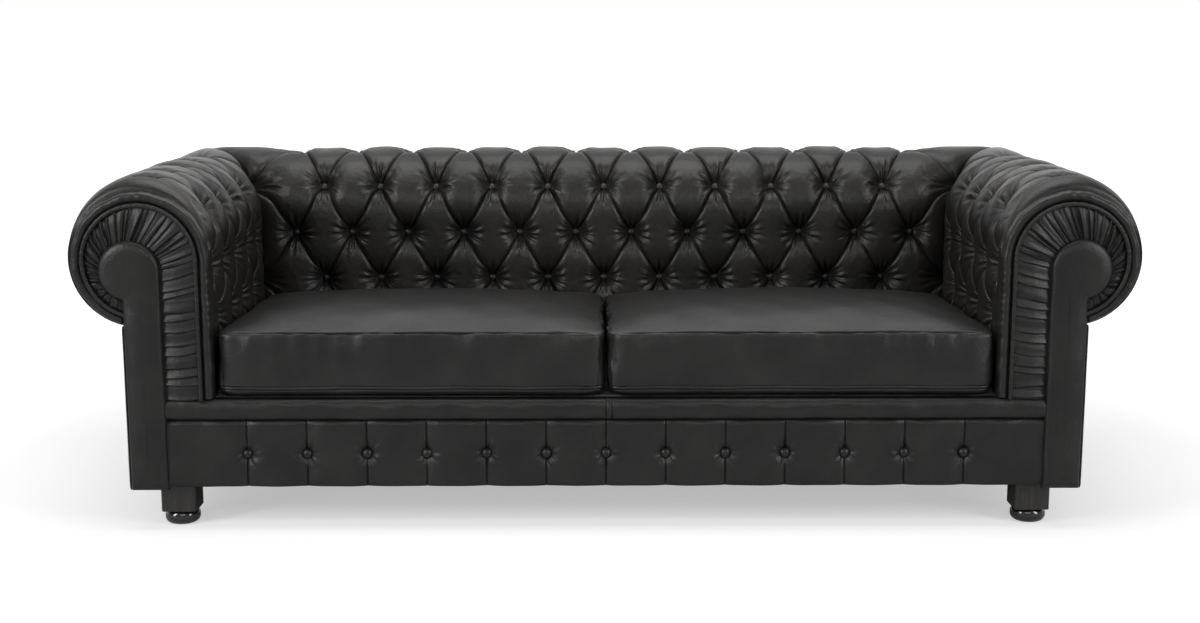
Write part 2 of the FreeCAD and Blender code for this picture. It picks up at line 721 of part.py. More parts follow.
def button_solid():
    """A domed button standing on its base at the origin, facing +Z."""
    radius = size("button_diameter").value / 2
    height = size("button_height").value
    dome = height * 2 / 3
    dome_radius = (radius * radius + dome * dome) / (2 * dome)
    ball = Part.makeSphere(dome_radius, Vector(0, 0, height - dome_radius))
    return Part.makeCylinder(radius, height).common(ball)


def placed_button(seat, outward):
    button = button_solid()
    button.Placement = Placement(seat, Rotation(Vector(0, 0, 1), outward))
    return button


def pad_buttons(columns, place_at):
    buttons = []
    for along, kind, has_button in columns:
        if not has_button:
            continue
        place = place_at(along)
        for row in (0, 2, 4) if kind == "odd" else (1, 3):
            low = place(*pad_point(row_travel[row] - half_pit, pit))
            high = place(*pad_point(row_travel[row] + half_pit, pit))
            seat = (low + high) * 0.5
            across = place_at(along + 1)(0, 0) - place(0, 0)
            outward = (high - low).cross(across)
            behind = place(roll_r, roll_height)
            if outward.dot(seat - behind) < 0:
                outward = -outward
            buttons.append(placed_button(seat, outward))
    return buttons


inner_edge = inner_half.value
back_line = back_face.value
pad_start_y = pad_front.value


def arm_place(along):
    return lambda depth, height: Vector(inner_edge + depth, along, height)


def back_place(along):
    return lambda depth, height: Vector(along, back_line + depth, height)


arm_columns, arm_step = column_places(back_line, pad_start_y - back_line, True)
rear_end = size("overall_depth").value / 2
arm_rear = (rear_end, back_line - arm_step)
arm_pad_shape = tufted_pad(arm_columns, arm_place, arm_rear, (pad_start_y,))
doc.recompute()
pair("arm_pad", fixed_shape("arm_pad_shape", arm_pad_shape.cut(behind_right.Shape)))
right_buttons = pad_buttons(arm_columns, arm_place)
left_buttons = [button.mirror(Vector(), Vector(1, 0, 0)) for button in right_buttons]
sub_part(fixed_shape("arm_button_group", Part.Compound(right_buttons + left_buttons)), "arm_buttons")

back_columns, back_step = column_places(-inner_edge, 2 * inner_edge, False)
side_end = size("overall_width").value / 2
back_pad_shape = tufted_pad(
    back_columns,
    back_place,
    (-side_end, -inner_edge - back_step),
    (inner_edge + back_step, side_end),
)
back_pad_shape = back_pad_shape.cut(outside_right.Shape).cut(outside_left.Shape)
sub_part(fixed_shape("back_pad_shape", back_pad_shape), "back_pad")
back_buttons = pad_buttons(back_columns, back_place)
sub_part(fixed_shape("back_button_group", Part.Compound(back_buttons)), "back_buttons")

# Outside panels of board covered with leather close the arms and the back.
PANEL_Z = (size("panel_bottom_height"), under_roll)
FRONT_PANEL_Z = (size("panel_bottom_height"), facing_z - rim_radius - size("fit_gap"))
outside_x_pair = (panel_x, outside_x)
outside_arm = joined(
    "outside_arm_panel_shape",
    box("outside_arm_board", outside_x_pair, (pad_front, outside_y), PANEL_Z),
    box("outside_arm_return", outside_x_pair, (border_y[0], pad_front), FRONT_PANEL_Z),
)
pair("outside_arm_panel", outside_arm)
between_panels = (-(panel_x - size("fit_gap")), panel_x - size("fit_gap"))
sub_part(box("outside_back_board", between_panels, (panel_y, outside_y), PANEL_Z), "outside_back_panel")

# The padded band under the cushions is a rounded leather strip between the centre panels.
band_half = stem_x[0] - size("fit_gap")
band_front = board_back - size("band_depth")
band_body = doc.addObject("PartDesign::Body", "band_body")
band_low = size("band_bottom_height")
band_corners = [
    (band_front, band_low),
    (board_back, band_low),
    (board_back, band_top),
    (band_front, band_top),
]
band_sketch = outline_sketch(band_body, "YZ_Plane", band_corners)
band_pad = band_body.newObject("PartDesign::Pad", "band_length")
band_pad.Profile = band_sketch
band_pad.Midplane = True
band_pad.setExpression("Length", (band_half * 2).text)
doc.recompute()
band_edges = []
for number, edge in enumerate(band_pad.Shape.Edges, 1):
    if edge.BoundBox.XLength > 1 and abs(edge.BoundBox.YMin - band_front.value) < 0.01:
        band_edges.append("Edge" + str(number))
band_fillet = band_body.newObject("PartDesign::Fillet", "band_rounded")
band_fillet.Base = (band_pad, band_edges)
band_fillet.setExpression("Radius", size("band_round").text)
sub_part(band_body, "front_band")

# The front panel under the band is padded, with an upright pleat through each of its buttons.
PANEL_SECTIONS = {
    "pleat": ("lower_panel_depth", "lower_panel_pit"),
    "crown": ("lower_panel_depth", "lower_panel_crown"),
}
panel_low = (frame_z + size("fit_gap")).value
panel_high = (band_low - size("fit_gap")).value
panel_back = board_back.value


def lower_panel_section(kind, along):
    at_edge, at_button = [size(name).value for name in PANEL_SECTIONS[kind]]
    seat_half = size("button_diameter").value / 2 + size("fit_gap").value
    button_z = size("front_button_height").value
    low_front = Vector(along, panel_back - at_edge, panel_low)
    seat_low = Vector(along, panel_back - at_button, button_z - seat_half)
    seat_high = Vector(along, panel_back - at_button, button_z + seat_half)
    high_front = Vector(along, panel_back - at_edge, panel_high)
    high_back = Vector(along, panel_back, panel_high)
    low_back = Vector(along, panel_back, panel_low)
    swell = Vector(0, -abs(size("lower_panel_crown").value - at_edge) / 4, 0)
    edges = [
        Part.Arc(low_front, (low_front + seat_low) * 0.5 + swell, seat_low).toShape(),
        Part.LineSegment(seat_low, seat_high).toShape(),
        Part.Arc(seat_high, (seat_high + high_front) * 0.5 + swell, high_front).toShape(),
        Part.LineSegment(high_front, high_back).toShape(),
        Part.LineSegment(high_back, low_back).toShape(),
        Part.LineSegment(low_back, low_front).toShape(),
    ]
    return Part.Wire(edges)


button_step = size("front_button_pitch").value
panel_half = band_half.value
half_count = int((panel_half - button_step / 2) / button_step)
button_places = [button_step * number for number in range(-half_count, half_count + 1)]
seat_half_width = size("button_diameter").value / 2 + size("fit_gap").value
panel_sections = [lower_panel_section("crown", -panel_half)]
for place in button_places:
    panel_sections.append(lower_panel_section("crown", place - button_step / 2))
    panel_sections.append(lower_panel_section("pleat", place - seat_half_width))
    panel_sections.append(lower_panel_section("pleat", place + seat_half_width))
panel_sections.append(lower_panel_section("crown", button_places[-1] + button_step / 2))
panel_sections.append(lower_panel_section("crown", panel_half))
lower_panel = fixed_shape("lower_panel_shape", Part.makeLoft(panel_sections, True, True))
sub_part(lower_panel, "front_lower_panel")
seat_y = panel_back - size("lower_panel_pit").value
button_height = size("front_button_height").value
front_buttons = []
for place in button_places:
    front_buttons.append(placed_button(Vector(place, seat_y, button_height), Vector(0, -1, 0)))
sub_part(fixed_shape("front_button_group", Part.Compound(front_buttons)), "front_buttons")

# Zigzag springs run from the front rail to the rear rail and are held in clips on top of them. They
# stand half a spacing off the middle, clear of the formers on the rear rail.
wire = size("spring_wire").value
gap = size("fit_gap").value
half_rail = size("rail_thickness").value / 2
spring_z = rail_top.value + wire / 2 + gap * 2
clip_height = wire + gap * 4
clip_y = [rail_front.value + half_rail, panel_y.value - half_rail]
run_count = int((clip_y[1] - clip_y[0]) / size("spring_pitch").value)
run_step = (clip_y[1] - clip_y[0]) / run_count
run_half = (size("spring_width").value - run_step) / 2
spring_path = []
run_side = -1
for number in range(run_count + 1):
    run_y = clip_y[0] + run_step * number
    run_start = Vector(run_side * run_half, run_y, spring_z)
    run_end = Vector(-run_side * run_half, run_y, spring_z)
    spring_path.append(Part.LineSegment(run_start, run_end).toShape())
    if number < run_count:
        bend = Vector(-run_side * (run_half + run_step / 2), run_y + run_step / 2, spring_z)
        turned = Vector(run_end.x, run_y + run_step, spring_z)
        spring_path.append(Part.Arc(run_end, bend, turned).toShape())
    run_side = -run_side
first_point = Vector(-run_half, clip_y[0], spring_z)
wire_circle = Part.Wire(Part.makeCircle(wire / 2, first_point, Vector(1, 0, 0)))
spring = Part.Wire(spring_path).makePipeShell([wire_circle], True, True)
deck_half = (inner_half + size("pad_thickness") - size("fit_gap") * 4).value
spring_gap = size("spring_spacing").value
springs_each_side = int((deck_half - size("spring_width").value) / spring_gap + 0.5)
spring_places = []
for number in range(-springs_each_side, springs_each_side):
    spring_places.append(spring_gap * (number + 0.5))
springs = [spring.translated(Vector(place, 0, 0)) for place in spring_places]
sub_part(fixed_shape("spring_group", Part.Compound(springs)), "seat_springs")
clip_size = (size("clip_width").value, size("clip_depth").value, clip_height)
clips = []
for place in spring_places:
    for y in clip_y:
        corner = Vector(place - clip_size[0] / 2, y - clip_size[1] / 2, rail_top.value)
        clip = Part.makeBox(*clip_size, corner)
        groove_start = Vector(corner.x - 1, y, spring_z)
        groove_size = (wire / 2 + gap, clip_size[0] + 2)
        clips.append(clip.cut(Part.makeCylinder(*groove_size, groove_start, Vector(1, 0, 0))))
sub_part(fixed_shape("clip_group", Part.Compound(clips)), "spring_clips")

# Felt, foam and platform cloth lie on the springs and carry the loose cushions.
deck_x = (-deck_half, deck_half)
deck_y = (board_back + size("fit_gap"), back_face + size("pad_thickness"))
deck_foam_top = size("pad_bottom_height") - size("fit_gap") * 6 - size("deck_cloth_thickness")
deck_foam_low = deck_foam_top - size("deck_pad_thickness")
felt_z = (deck_foam_low - size("insulator_thickness"), deck_foam_low)
sub_part(box("spring_felt", deck_x, deck_y, felt_z), "spring_insulator")
sub_part(box("deck_foam", deck_x, deck_y, (deck_foam_low, deck_foam_top)), "deck_pad")
deck_cloth_z = (deck_foam_top, deck_foam_top + size("deck_cloth_thickness"))
sub_part(box("platform_cloth", deck_x, deck_y, deck_cloth_z), "deck_cloth")


# Loose seat cushions: a box cover with a crowned top and sides drawn in between the corners. The
# sections lie closer together near its two ends, and the crown keeps a little height there.
CUSHION_SECTIONS = (0, 0.03, 0.12, 0.3, 0.5, 0.7, 0.88, 0.97, 1)
END_RISE = 0.12


def cushion_solid(x_low, x_high, inset):
    """The cushion's form between two sides, shrunk all round by the inset."""
    y_front = front.value + size("cushion_front_setback").value + inset
    y_back = back_line - size("cushion_back_gap").value - inset
    bottom = size("cushion_bottom_height").value + inset
    low_seam = size("lower_seam_height").value
    high_seam = size("upper_seam_height").value
    x_low += inset
    x_high -= inset
    width = x_high - x_low
    sections = []
    for share in CUSHION_SECTIONS:
        across = math.sin(math.pi * share) ** 0.5 if 0 < share < 1 else 0
        x = x_low + width * share
        draw = size("cushion_draw_in").value * across
        rise = (size("cushion_crown").value - inset) * (END_RISE + (1 - END_RISE) * across)
        swell = size("cushion_bulge").value
        seam_front = Vector(x, y_front + swell + draw, high_seam)
        seam_back = Vector(x, y_back - draw, high_seam)
        low_front = Vector(x, y_front + swell + draw, low_seam)
        low_back = Vector(x, y_back - draw, low_seam)
        under = low_seam - bottom
        under_front = Vector(x, low_front.y + under, bottom)
        under_back = Vector(x, low_back.y - under, bottom)
        in_corner = under * (1 - ROOT_HALF)
        corner_front = Vector(x, low_front.y + in_corner, bottom + in_corner)
        corner_back = Vector(x, low_back.y - in_corner, bottom + in_corner)
        middle_front = Vector(x, y_front + draw, (low_seam + high_seam) / 2)
        top = Vector(x, (seam_front.y + seam_back.y) / 2, high_seam + rise)
        edges = [
            Part.Arc(low_front, middle_front, seam_front).toShape(),
            Part.Arc(seam_front, top, seam_back).toShape(),
            Part.LineSegment(seam_back, low_back).toShape(),
            Part.Arc(low_back, corner_back, under_back).toShape(),
            Part.LineSegment(under_back, under_front).toShape(),
            Part.Arc(under_front, corner_front, low_front).toShape(),
        ]
        sections.append(Part.Wire(edges))
    return Part.makeLoft(sections, True, True)


cushion_sides = (size("cushion_gap") / 2, inner_half - size("cushion_side_gap"))
cushion_x = [side.value for side in cushion_sides]
cover_wall = size("cover_thickness").value
outer_cushion = cushion_solid(*cushion_x, 0)
cushion_room = cushion_solid(*cushion_x, cover_wall)
filling = cushion_solid(*cushion_x, cover_wall + gap)
pair("cushion_cover", fixed_shape("cushion_cover_shell", outer_cushion.cut(cushion_room)))
pair("cushion_foam", fixed_shape("cushion_foam_block", filling))

doc.recompute()

# Every piece is tested before any file is written.
for piece in doc.Objects:
    if "Invalid" in piece.State or "Error" in piece.State:
        raise RuntimeError("failed: " + piece.Name)
for piece in sub_parts:
    if piece.Shape.isNull() or not piece.Shape.isValid() or not piece.Shape.Solids:
        raise RuntimeError("no valid solid: " + piece.Label)
os.makedirs("parts", exist_ok=True)
for piece in sub_parts:
    piece.Shape.exportStep(os.path.join("parts", piece.Label + ".step"))
print("wrote", len(sub_parts), "sub-parts")
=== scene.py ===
import math

import bmesh
import bpy
import numpy as np
from mathutils import Matrix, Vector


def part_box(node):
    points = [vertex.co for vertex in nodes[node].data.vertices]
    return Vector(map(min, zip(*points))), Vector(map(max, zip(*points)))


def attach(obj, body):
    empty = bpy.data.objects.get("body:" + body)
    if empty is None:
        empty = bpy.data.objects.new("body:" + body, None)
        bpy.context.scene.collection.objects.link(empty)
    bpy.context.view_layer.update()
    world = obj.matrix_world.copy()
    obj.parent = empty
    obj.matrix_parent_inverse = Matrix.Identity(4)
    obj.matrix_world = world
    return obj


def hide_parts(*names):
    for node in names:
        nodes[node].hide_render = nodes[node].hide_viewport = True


# A three-seat chesterfield sofa in black leather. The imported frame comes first, with its box at rest.
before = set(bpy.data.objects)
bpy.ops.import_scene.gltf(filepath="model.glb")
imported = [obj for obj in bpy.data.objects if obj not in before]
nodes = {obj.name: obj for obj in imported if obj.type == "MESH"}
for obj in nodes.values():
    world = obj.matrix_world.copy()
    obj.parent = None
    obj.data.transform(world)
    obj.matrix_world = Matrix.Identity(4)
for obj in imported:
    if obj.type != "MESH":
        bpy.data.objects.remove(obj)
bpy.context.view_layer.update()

# The camera stands in front of the sofa, a little above the back, and looks slightly down.
camera = bpy.data.objects.new("camera", bpy.data.cameras.new("camera"))
bpy.context.scene.collection.objects.link(camera)
bpy.context.scene.camera = camera
camera.data.sensor_width = 36
camera.data.lens = 49.88
turn = Matrix.Rotation(math.radians(-0.308), 3, "Z") @ Matrix.Rotation(math.radians(79.88), 3, "X")
turn = turn @ Matrix.Rotation(math.radians(-0.05), 3, "Z")
camera.rotation_euler = turn.to_euler()
camera.location = (-0.0296, -3.7, 1.0314)

# The studio: a white floor that runs up into a white backdrop, and soft lamps above and in front.
scene = bpy.context.scene
scene.view_settings.view_transform = "Standard"
world = bpy.data.worlds.new("studio")
scene.world = world
world.use_nodes = True
links = world.node_tree.links
world_nodes = world.node_tree.nodes
sky = world_nodes["Background"]
sky.inputs["Color"].default_value = (1, 1, 1, 1)
sky.inputs["Strength"].default_value = 0.28
backdrop = world_nodes.new("ShaderNodeBackground")
backdrop.inputs["Color"].default_value = (1, 1, 1, 1)
backdrop.inputs["Strength"].default_value = 1
rays = world_nodes.new("ShaderNodeLightPath")
chosen = world_nodes.new("ShaderNodeMixShader")
# reflections see the white backdrop too, which stands behind the sofa
aim = world_nodes.new("ShaderNodeSeparateXYZ")
links.new(world_nodes.new("ShaderNodeTexCoord").outputs["Generated"], aim.inputs["Vector"])
behind = world_nodes.new("ShaderNodeMapRange")
behind.inputs["From Min"].default_value = 0.0
behind.inputs["From Max"].default_value = 0.6
links.new(aim.outputs["Y"], behind.inputs["Value"])
mirrored = world_nodes.new("ShaderNodeMath")
mirrored.operation = "MULTIPLY"
links.new(rays.outputs["Is Glossy Ray"], mirrored.inputs[0])
links.new(behind.outputs["Result"], mirrored.inputs[1])
white_share = world_nodes.new("ShaderNodeMath")
white_share.operation = "MAXIMUM"
links.new(rays.outputs["Is Camera Ray"], white_share.inputs[0])
links.new(mirrored.outputs["Value"], white_share.inputs[1])
links.new(white_share.outputs["Value"], chosen.inputs["Fac"])
links.new(sky.outputs["Background"], chosen.inputs[1])
links.new(backdrop.outputs["Background"], chosen.inputs[2])
links.new(chosen.outputs["Shader"], world_nodes["World Output"].inputs["Surface"])

floor_mesh = bmesh.new()
bmesh.ops.create_grid(floor_mesh, x_segments=1, y_segments=1, size=14)
floor_data = bpy.data.meshes.new("floor")
floor_mesh.to_mesh(floor_data)
floor = bpy.data.objects.new("floor", floor_data)
scene.collection.objects.link(floor)
floor_paint = bpy.data.materials.new("floor_paint")
floor_paint.use_nodes = True
floor_data.materials.append(floor_paint)
tree = floor_paint.node_tree
shader = tree.nodes["Principled BSDF"]
shader.inputs["Base Color"].default_value = (0.58, 0.58, 0.58, 1)
shader.inputs["Roughness"].default_value = 0.9
shader.inputs["Specular IOR Level"].default_value = 0.1
shader.inputs["Emission Color"].default_value = (1, 1, 1, 1)
seen = tree.nodes.new("ShaderNodeLightPath")
lift = tree.nodes.new("ShaderNodeMath")
lift.operation = "MULTIPLY"
tree.links.new(seen.outputs["Is Camera Ray"], lift.inputs[0])
tree.links.new(lift.outputs[0], shader.inputs["Emission Strength"])
# away from the sofa the floor runs out into the white backdrop
middle = tree.nodes.new("ShaderNodeVectorMath")
middle.operation = "LENGTH"
tree.links.new(tree.nodes.new("ShaderNodeTexCoord").outputs["Object"], middle.inputs[0])
outward = tree.nodes.new("ShaderNodeMapRange")
outward.inputs["From Min"].default_value = 1.4
outward.inputs["From Max"].default_value = 3.2
outward.inputs["To Min"].default_value = 0.46
outward.inputs["To Max"].default_value = 1.0
tree.links.new(middle.outputs["Value"], outward.inputs["Value"])
tree.links.new(outward.outputs["Result"], lift.inputs[1])

# each lamp's name, place, turn in degrees, width, depth and power in watts
LAMPS = (
    ("overhead", (0, 0, 3.2), (0, 0, 0), 3.4, 2.0, 74),
    ("front_left", (-3.1, -2.5, 1.9), (74, 0, -52), 0.9, 2.6, 84),
    ("front_right", (3.1, -2.5, 1.9), (74, 0, 52), 0.9, 2.6, 66),
    ("front_fill", (0, -4.6, 2.6), (62, 0, 0), 3.0, 0.8, 34),
)
for name, place, angles, width, depth, power in LAMPS:
    lamp = bpy.data.lights.new(name, "AREA")
    lamp.shape = "RECTANGLE"
    lamp.size = width
    lamp.size_y = depth
    lamp.energy = power
    holder = bpy.data.objects.new(name, lamp)
    holder.location = place
    holder.rotation_euler = [math.radians(angle) for angle in angles]
    scene.collection.objects.link(holder)


# The leather is black, drum-dyed and lightly waxed. It has a fine pebble grain, soft wear in random
# patches, and on the tufted pads the fine puckers that run into each button.
def leather(name, dark, worn, grain=1.0, rough=0.37, puckers=False):
    paint = bpy.data.materials.new(name)
    paint.use_nodes = True
    tree = paint.node_tree
    new = tree.nodes.new
    join = tree.links.new
    shader = tree.nodes["Principled BSDF"]
    place = new("ShaderNodeTexCoord").outputs["Object"]

    cloud = new("ShaderNodeTexNoise")
    cloud.inputs["Scale"].default_value = 9
    cloud.inputs["Detail"].default_value = 5
    join(place, cloud.inputs["Vector"])
    tint = new("ShaderNodeValToRGB")
    tint.color_ramp.elements[0].position = 0.36
    tint.color_ramp.elements[0].color = (*dark, 1)
    tint.color_ramp.elements[1].position = 0.68
    tint.color_ramp.elements[1].color = (*worn, 1)
    join(cloud.outputs["Fac"], tint.inputs["Fac"])
    join(tint.outputs["Color"], shader.inputs["Base Color"])

    gloss = new("ShaderNodeMapRange")
    gloss.inputs["From Min"].default_value = 0.3
    gloss.inputs["From Max"].default_value = 0.7
    gloss.inputs["To Min"].default_value = rough + 0.05
    gloss.inputs["To Max"].default_value = rough - 0.05
    join(cloud.outputs["Fac"], gloss.inputs["Value"])
    join(gloss.outputs["Result"], shader.inputs["Roughness"])
    shader.inputs["Specular IOR Level"].default_value = 0.31

    pebbles = new("ShaderNodeTexVoronoi")
    pebbles.inputs["Scale"].default_value = 430
    join(place, pebbles.inputs["Vector"])
    lines = new("ShaderNodeTexNoise")
    lines.inputs["Scale"].default_value = 46
    lines.inputs["Detail"].default_value = 6
    lines.inputs["Distortion"].default_value = 0.6
    join(place, lines.inputs["Vector"])
    fine = new("ShaderNodeBump")
    fine.inputs["Strength"].default_value = 0.35 * grain
    fine.inputs["Distance"].default_value = 0.0007
    join(pebbles.outputs["Distance"], fine.inputs["Height"])
    soft = new("ShaderNodeBump")
    soft.inputs["Strength"].default_value = 0.35
    soft.inputs["Distance"].default_value = 0.003
    join(lines.outputs["Fac"], soft.inputs["Height"])
    join(soft.outputs["Normal"], fine.inputs["Normal"])
    join(fine.outputs["Normal"], shader.inputs["Normal"])
    if puckers:
        pull = new("ShaderNodeAttribute")
        pull.attribute_name = "pucker"
        spread = new("ShaderNodeSeparateXYZ")
        join(pull.outputs["Vector"], spread.inputs["Vector"])
        aside = new("ShaderNodeVectorMath")
        aside.operation = "MULTIPLY"
        aside.inputs[1].default_value = (1, 1, 0)
        join(pull.outputs["Vector"], aside.inputs[0])
        ray = new("ShaderNodeVectorMath")
        ray.operation = "NORMALIZE"
        join(aside.outputs["Vector"], ray.inputs[0])
        folds = new("ShaderNodeTexNoise")
        folds.inputs["Scale"].default_value = 5.5
        folds.inputs["Detail"].default_value = 3
        join(ray.outputs["Vector"], folds.inputs["Vector"])
        held = new("ShaderNodeMath")
        held.operation = "MULTIPLY"
        join(folds.outputs["Fac"], held.inputs[0])
        join(spread.outputs["Z"], held.inputs[1])
        pinch = new("ShaderNodeBump")
        pinch.inputs["Strength"].default_value = 0.8
        pinch.inputs["Distance"].default_value = 0.006
        join(held.outputs["Value"], pinch.inputs["Height"])
        join(pinch.outputs["Normal"], soft.inputs["Normal"])
    return paint


def piece(name, bm, paint, body):
    """Files a finished bmesh as a piece of the sofa that rides on a body."""
    data = bpy.data.meshes.new(name)
    bm.to_mesh(data)
    bm.free()
    data.shade_smooth()
    data.materials.append(paint)
    made = bpy.data.objects.new(name, data)
    scene.collection.objects.link(made)
    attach(made, body)
    return made


# Deep-buttoned back and arm pads: leather over foam, pulled in by rows of buttons and folded into
# diamond creases between them. Past the top row the folds run straight back over the roll.
SEAT_HALF = 0.79
BACK_FACE = 0.17
ROLL_RADIUS = 0.14
ROLL_HEIGHT = 0.578
CORE_RADIUS = 0.092
TRAVEL_RADIUS = 0.104
CROWN = 0.048
FIRST_ROW = 0.31
ROW_PITCH = 0.108
LAST_ROW = 4
PAD_LOW = 0.274
PAD_END = math.radians(258)
STEPS = 24
INNER_ROWS = 16
FOLD_POWER = 3.8
CREASE_DEPTH = 0.0052
LESS_ON_ROLL = 0.0012
SLIT_DEPTH = 0.0055
SLIT_WIDTH = 0.03
PLEAT_DEPTH = 0.006
PLEAT_PULL = 0.002
# these have one size for the face of the pad and one for the top row, on the roll
WELL_DEPTH = (0.0272, 0.0205)
WELL_WIDTH = (0.0290, 0.0185)
PUCKER_HEIGHT = (0.0044, 0.0012)
PUCKER_RING = 0.021
PUCKER_WAVES = ((8, 0.25), (12, 0.55), (15, 0.5), (19, 0.3))
MITRE_POWER = 1.25
MITRE_WIDTH = 0.034
MITRE_SINK = 0.5


def bell(distance, width):
    """One in the middle, and falling off smoothly over about the width."""
    return np.exp(-((distance / width) ** 2))


def warped(first, last, count):
    """Steps that lie closer together near whole numbers, where the buttons are."""
    plain = np.linspace(first, last, count + 1)
    return plain - 0.38 * np.sin(2 * np.pi * plain) / (2 * np.pi)


def from_even(value):
    """How far a number is from the nearest even one."""
    return np.abs(value - 2 * np.round(value / 2))


def pad_thickness(a, b, fade):
    """Height of the leather over the frame at column a and row b, without the wells of the buttons."""
    along_u = from_even(a + b)
    along_v = from_even(a - b)
    column = from_even(a)
    on_roll = np.clip(b - LAST_ROW + 1, 0, 1)
    crease = CREASE_DEPTH - LESS_ON_ROLL * on_roll**2
    diamond = crease * (along_u**FOLD_POWER + along_v**FOLD_POWER)
    slit = bell(1 - along_u, SLIT_WIDTH) + bell(1 - along_v, SLIT_WIDTH)
    over = np.clip(b - LAST_ROW, 0, None)
    under = np.clip(-b, 0, None)
    by_buttons = bell(over, 0.34) * bell(under, 0.34)
    pleat = column**FOLD_POWER * (PLEAT_DEPTH * np.exp(-over / 2.5) + PLEAT_PULL * by_buttons)
    pleat_slit = bell(1 - column, SLIT_WIDTH) * np.exp(-over / 1.6)
    beyond = (over > 0) | (under > 0)
    depth = np.where(beyond, pleat, diamond)
    return CROWN - (depth + SLIT_DEPTH * np.where(beyond, pleat_slit, np.minimum(slit, 1))) * fade


def rumpled(height, a, b):
    """Every diamond is stuffed a little differently, and the leather waves slightly."""
    cell = np.round((a + b) / 2) * 3.1 + np.round((a - b) / 2) * 5.3
    bump = (1 - from_even(a + b) ** 2) * (1 - from_even(a - b) ** 2)
    height = height + 0.0018 * np.sin(cell * 2.7) * bump * (b < 4.6)
    return height + 0.0006 * np.sin(a * 5.1 + b * 2.2) * np.sin(b * 4.3 - a * 1.7)


def nearest_button(a, b, step):
    """Place relative to the nearest button in metres, and that button's number."""
    odd_u = 2 * np.round((a + b - 1) / 2) + 1
    odd_v = 2 * np.round((a - b - 1) / 2) + 1
    row = (odd_u - odd_v) / 2
    column = (odd_u + odd_v) / 2
    # rows past the last one have no buttons, so the nearest one on the last row counts
    high = row > LAST_ROW
    column = np.where(high, 2 * np.round((a - 1) / 2) + 1, column)
    row = np.where(high, LAST_ROW, row)
    return (a - column) * step, (b - row) * ROW_PITCH, column * 7 + row


def radial_folds(turn, number, waves, first, more):
    """Folds that fan out round a button, in waves laid over one another and different at each."""
    folds = np.zeros_like(turn)
    for count, weight in waves:
        folds += weight * np.sin(count * turn + number * (first + count * more))
    return folds


def pulled_in(height, a, b, step, fade):
    """The height with a deep well and puckers round each button, and the strain in the leather:
    the way to the button, aside and up, and how hard it pulls."""
    side, rise, number = nearest_button(a, b, step)
    away = np.hypot(side, rise) + 1e-6
    turn = np.arctan2(rise, side)
    on_top = b > LAST_ROW - 0.5
    well_depth, well_width, pucker_height = (
        np.where(on_top, top, face) for face, top in (WELL_DEPTH, WELL_WIDTH, PUCKER_HEIGHT)
    )
    height = height - well_depth * bell(away, well_width) * fade * (b > -0.6)
    ring = away - PUCKER_RING
    reach = np.where(ring < 0, bell(ring, 0.008), bell(ring, 0.018))
    folds = radial_folds(turn, number, PUCKER_WAVES, 1.3, 0.7)
    known = (b > -0.6) & (b < LAST_ROW + 0.55)
    height = height + pucker_height * folds * reach * known * fade
    return height, np.stack([side, rise, reach * known * fade], -1)


def roll_angle(travel):
    """How far round the roll a place is, from where the upright face ends."""
    return np.clip((travel - ROLL_HEIGHT) / TRAVEL_RADIUS, 0, PAD_END)


def pad_place(travel, height):
    """Depth behind the crowns and height above the floor, for travel up the pad and round the roll."""
    angle = roll_angle(travel)
    radius = CORE_RADIUS + height
    round_depth = ROLL_RADIUS - radius * np.cos(angle)
    round_height = ROLL_HEIGHT + radius * np.sin(angle)
    straight = travel <= ROLL_HEIGHT
    depth = np.where(straight, CROWN - height, round_depth)
    return depth, np.where(straight, travel, round_height)


def mitred(height, a, travel, corners, step):
    """The pad rolls in towards the corner, where it meets its neighbour in a mitre."""
    depth = np.clip(pad_place(travel, height)[0], 0, None)
    # on the outside of the roll the two pads meet in a plain seam
    outside = np.clip(((travel - ROLL_HEIGHT) / TRAVEL_RADIUS - 1.45) / 0.75, 0, 1)
    for corner in corners:
        share = np.clip(1 - np.abs(a - corner), 0, 1)
        seam = (np.abs(a - corner) * step + depth * (1 - share**MITRE_POWER)) / math.sqrt(2)
        near = np.clip(seam / (MITRE_WIDTH - 0.022 * outside), 0, 1)
        roll_in = np.clip(1 - (1 - near) ** 2, 0, 1) ** 0.5
        sunk = MITRE_SINK - 0.4 * outside
        height = np.where(share > 0, height * (1 - sunk * (1 - roll_in)), height)
    return height


def rounded_front(height, travel, from_end):
    """At the front an arm's pad curves down to the padded rim, whose middle lies a little lower."""
    rim_aside, rim_down, rim_radius, rim_flat = 0.0055, 0.0265, 0.1372, 0.0485
    angle = roll_angle(travel)
    lean = rim_aside * np.cos(angle) + rim_down * np.sin(angle)
    out = -lean + np.sqrt(np.clip(lean**2 - (rim_aside**2 + rim_down**2 - rim_radius**2), 0, None))
    rim_height = np.where(travel <= ROLL_HEIGHT, rim_flat, out - CORE_RADIUS)
    near = np.clip(from_end / 0.062, 0, 1)
    shoulder = np.sqrt(1 - (1 - near) ** 2)
    return np.where(near < 1, rim_height * (1 - shoulder) + height * shoulder, height)


def split_along_creases(bm, grid, across, first):
    """Each crease runs corner to corner through its faces, so those are split along it."""
    for face in list(bm.faces):
        j, i = divmod(min(vert.index for vert in face.verts), across)
        up = j - first
        if not 0 <= up < LAST_ROW * STEPS:
            continue
        if (i - up - STEPS) % (2 * STEPS) == 0:
            ends = (grid[j * across + i], grid[(j + 1) * across + i + 1])
        elif (i + up + 1 - STEPS) % (2 * STEPS) == 0:
            ends = (grid[j * across + i + 1], grid[(j + 1) * across + i])
        else:
            continue
        bmesh.utils.face_split(face, *ends)
        for edge in ends[0].link_edges:
            if edge.other_vert(ends[0]) == ends[1]:
                edge.smooth = False


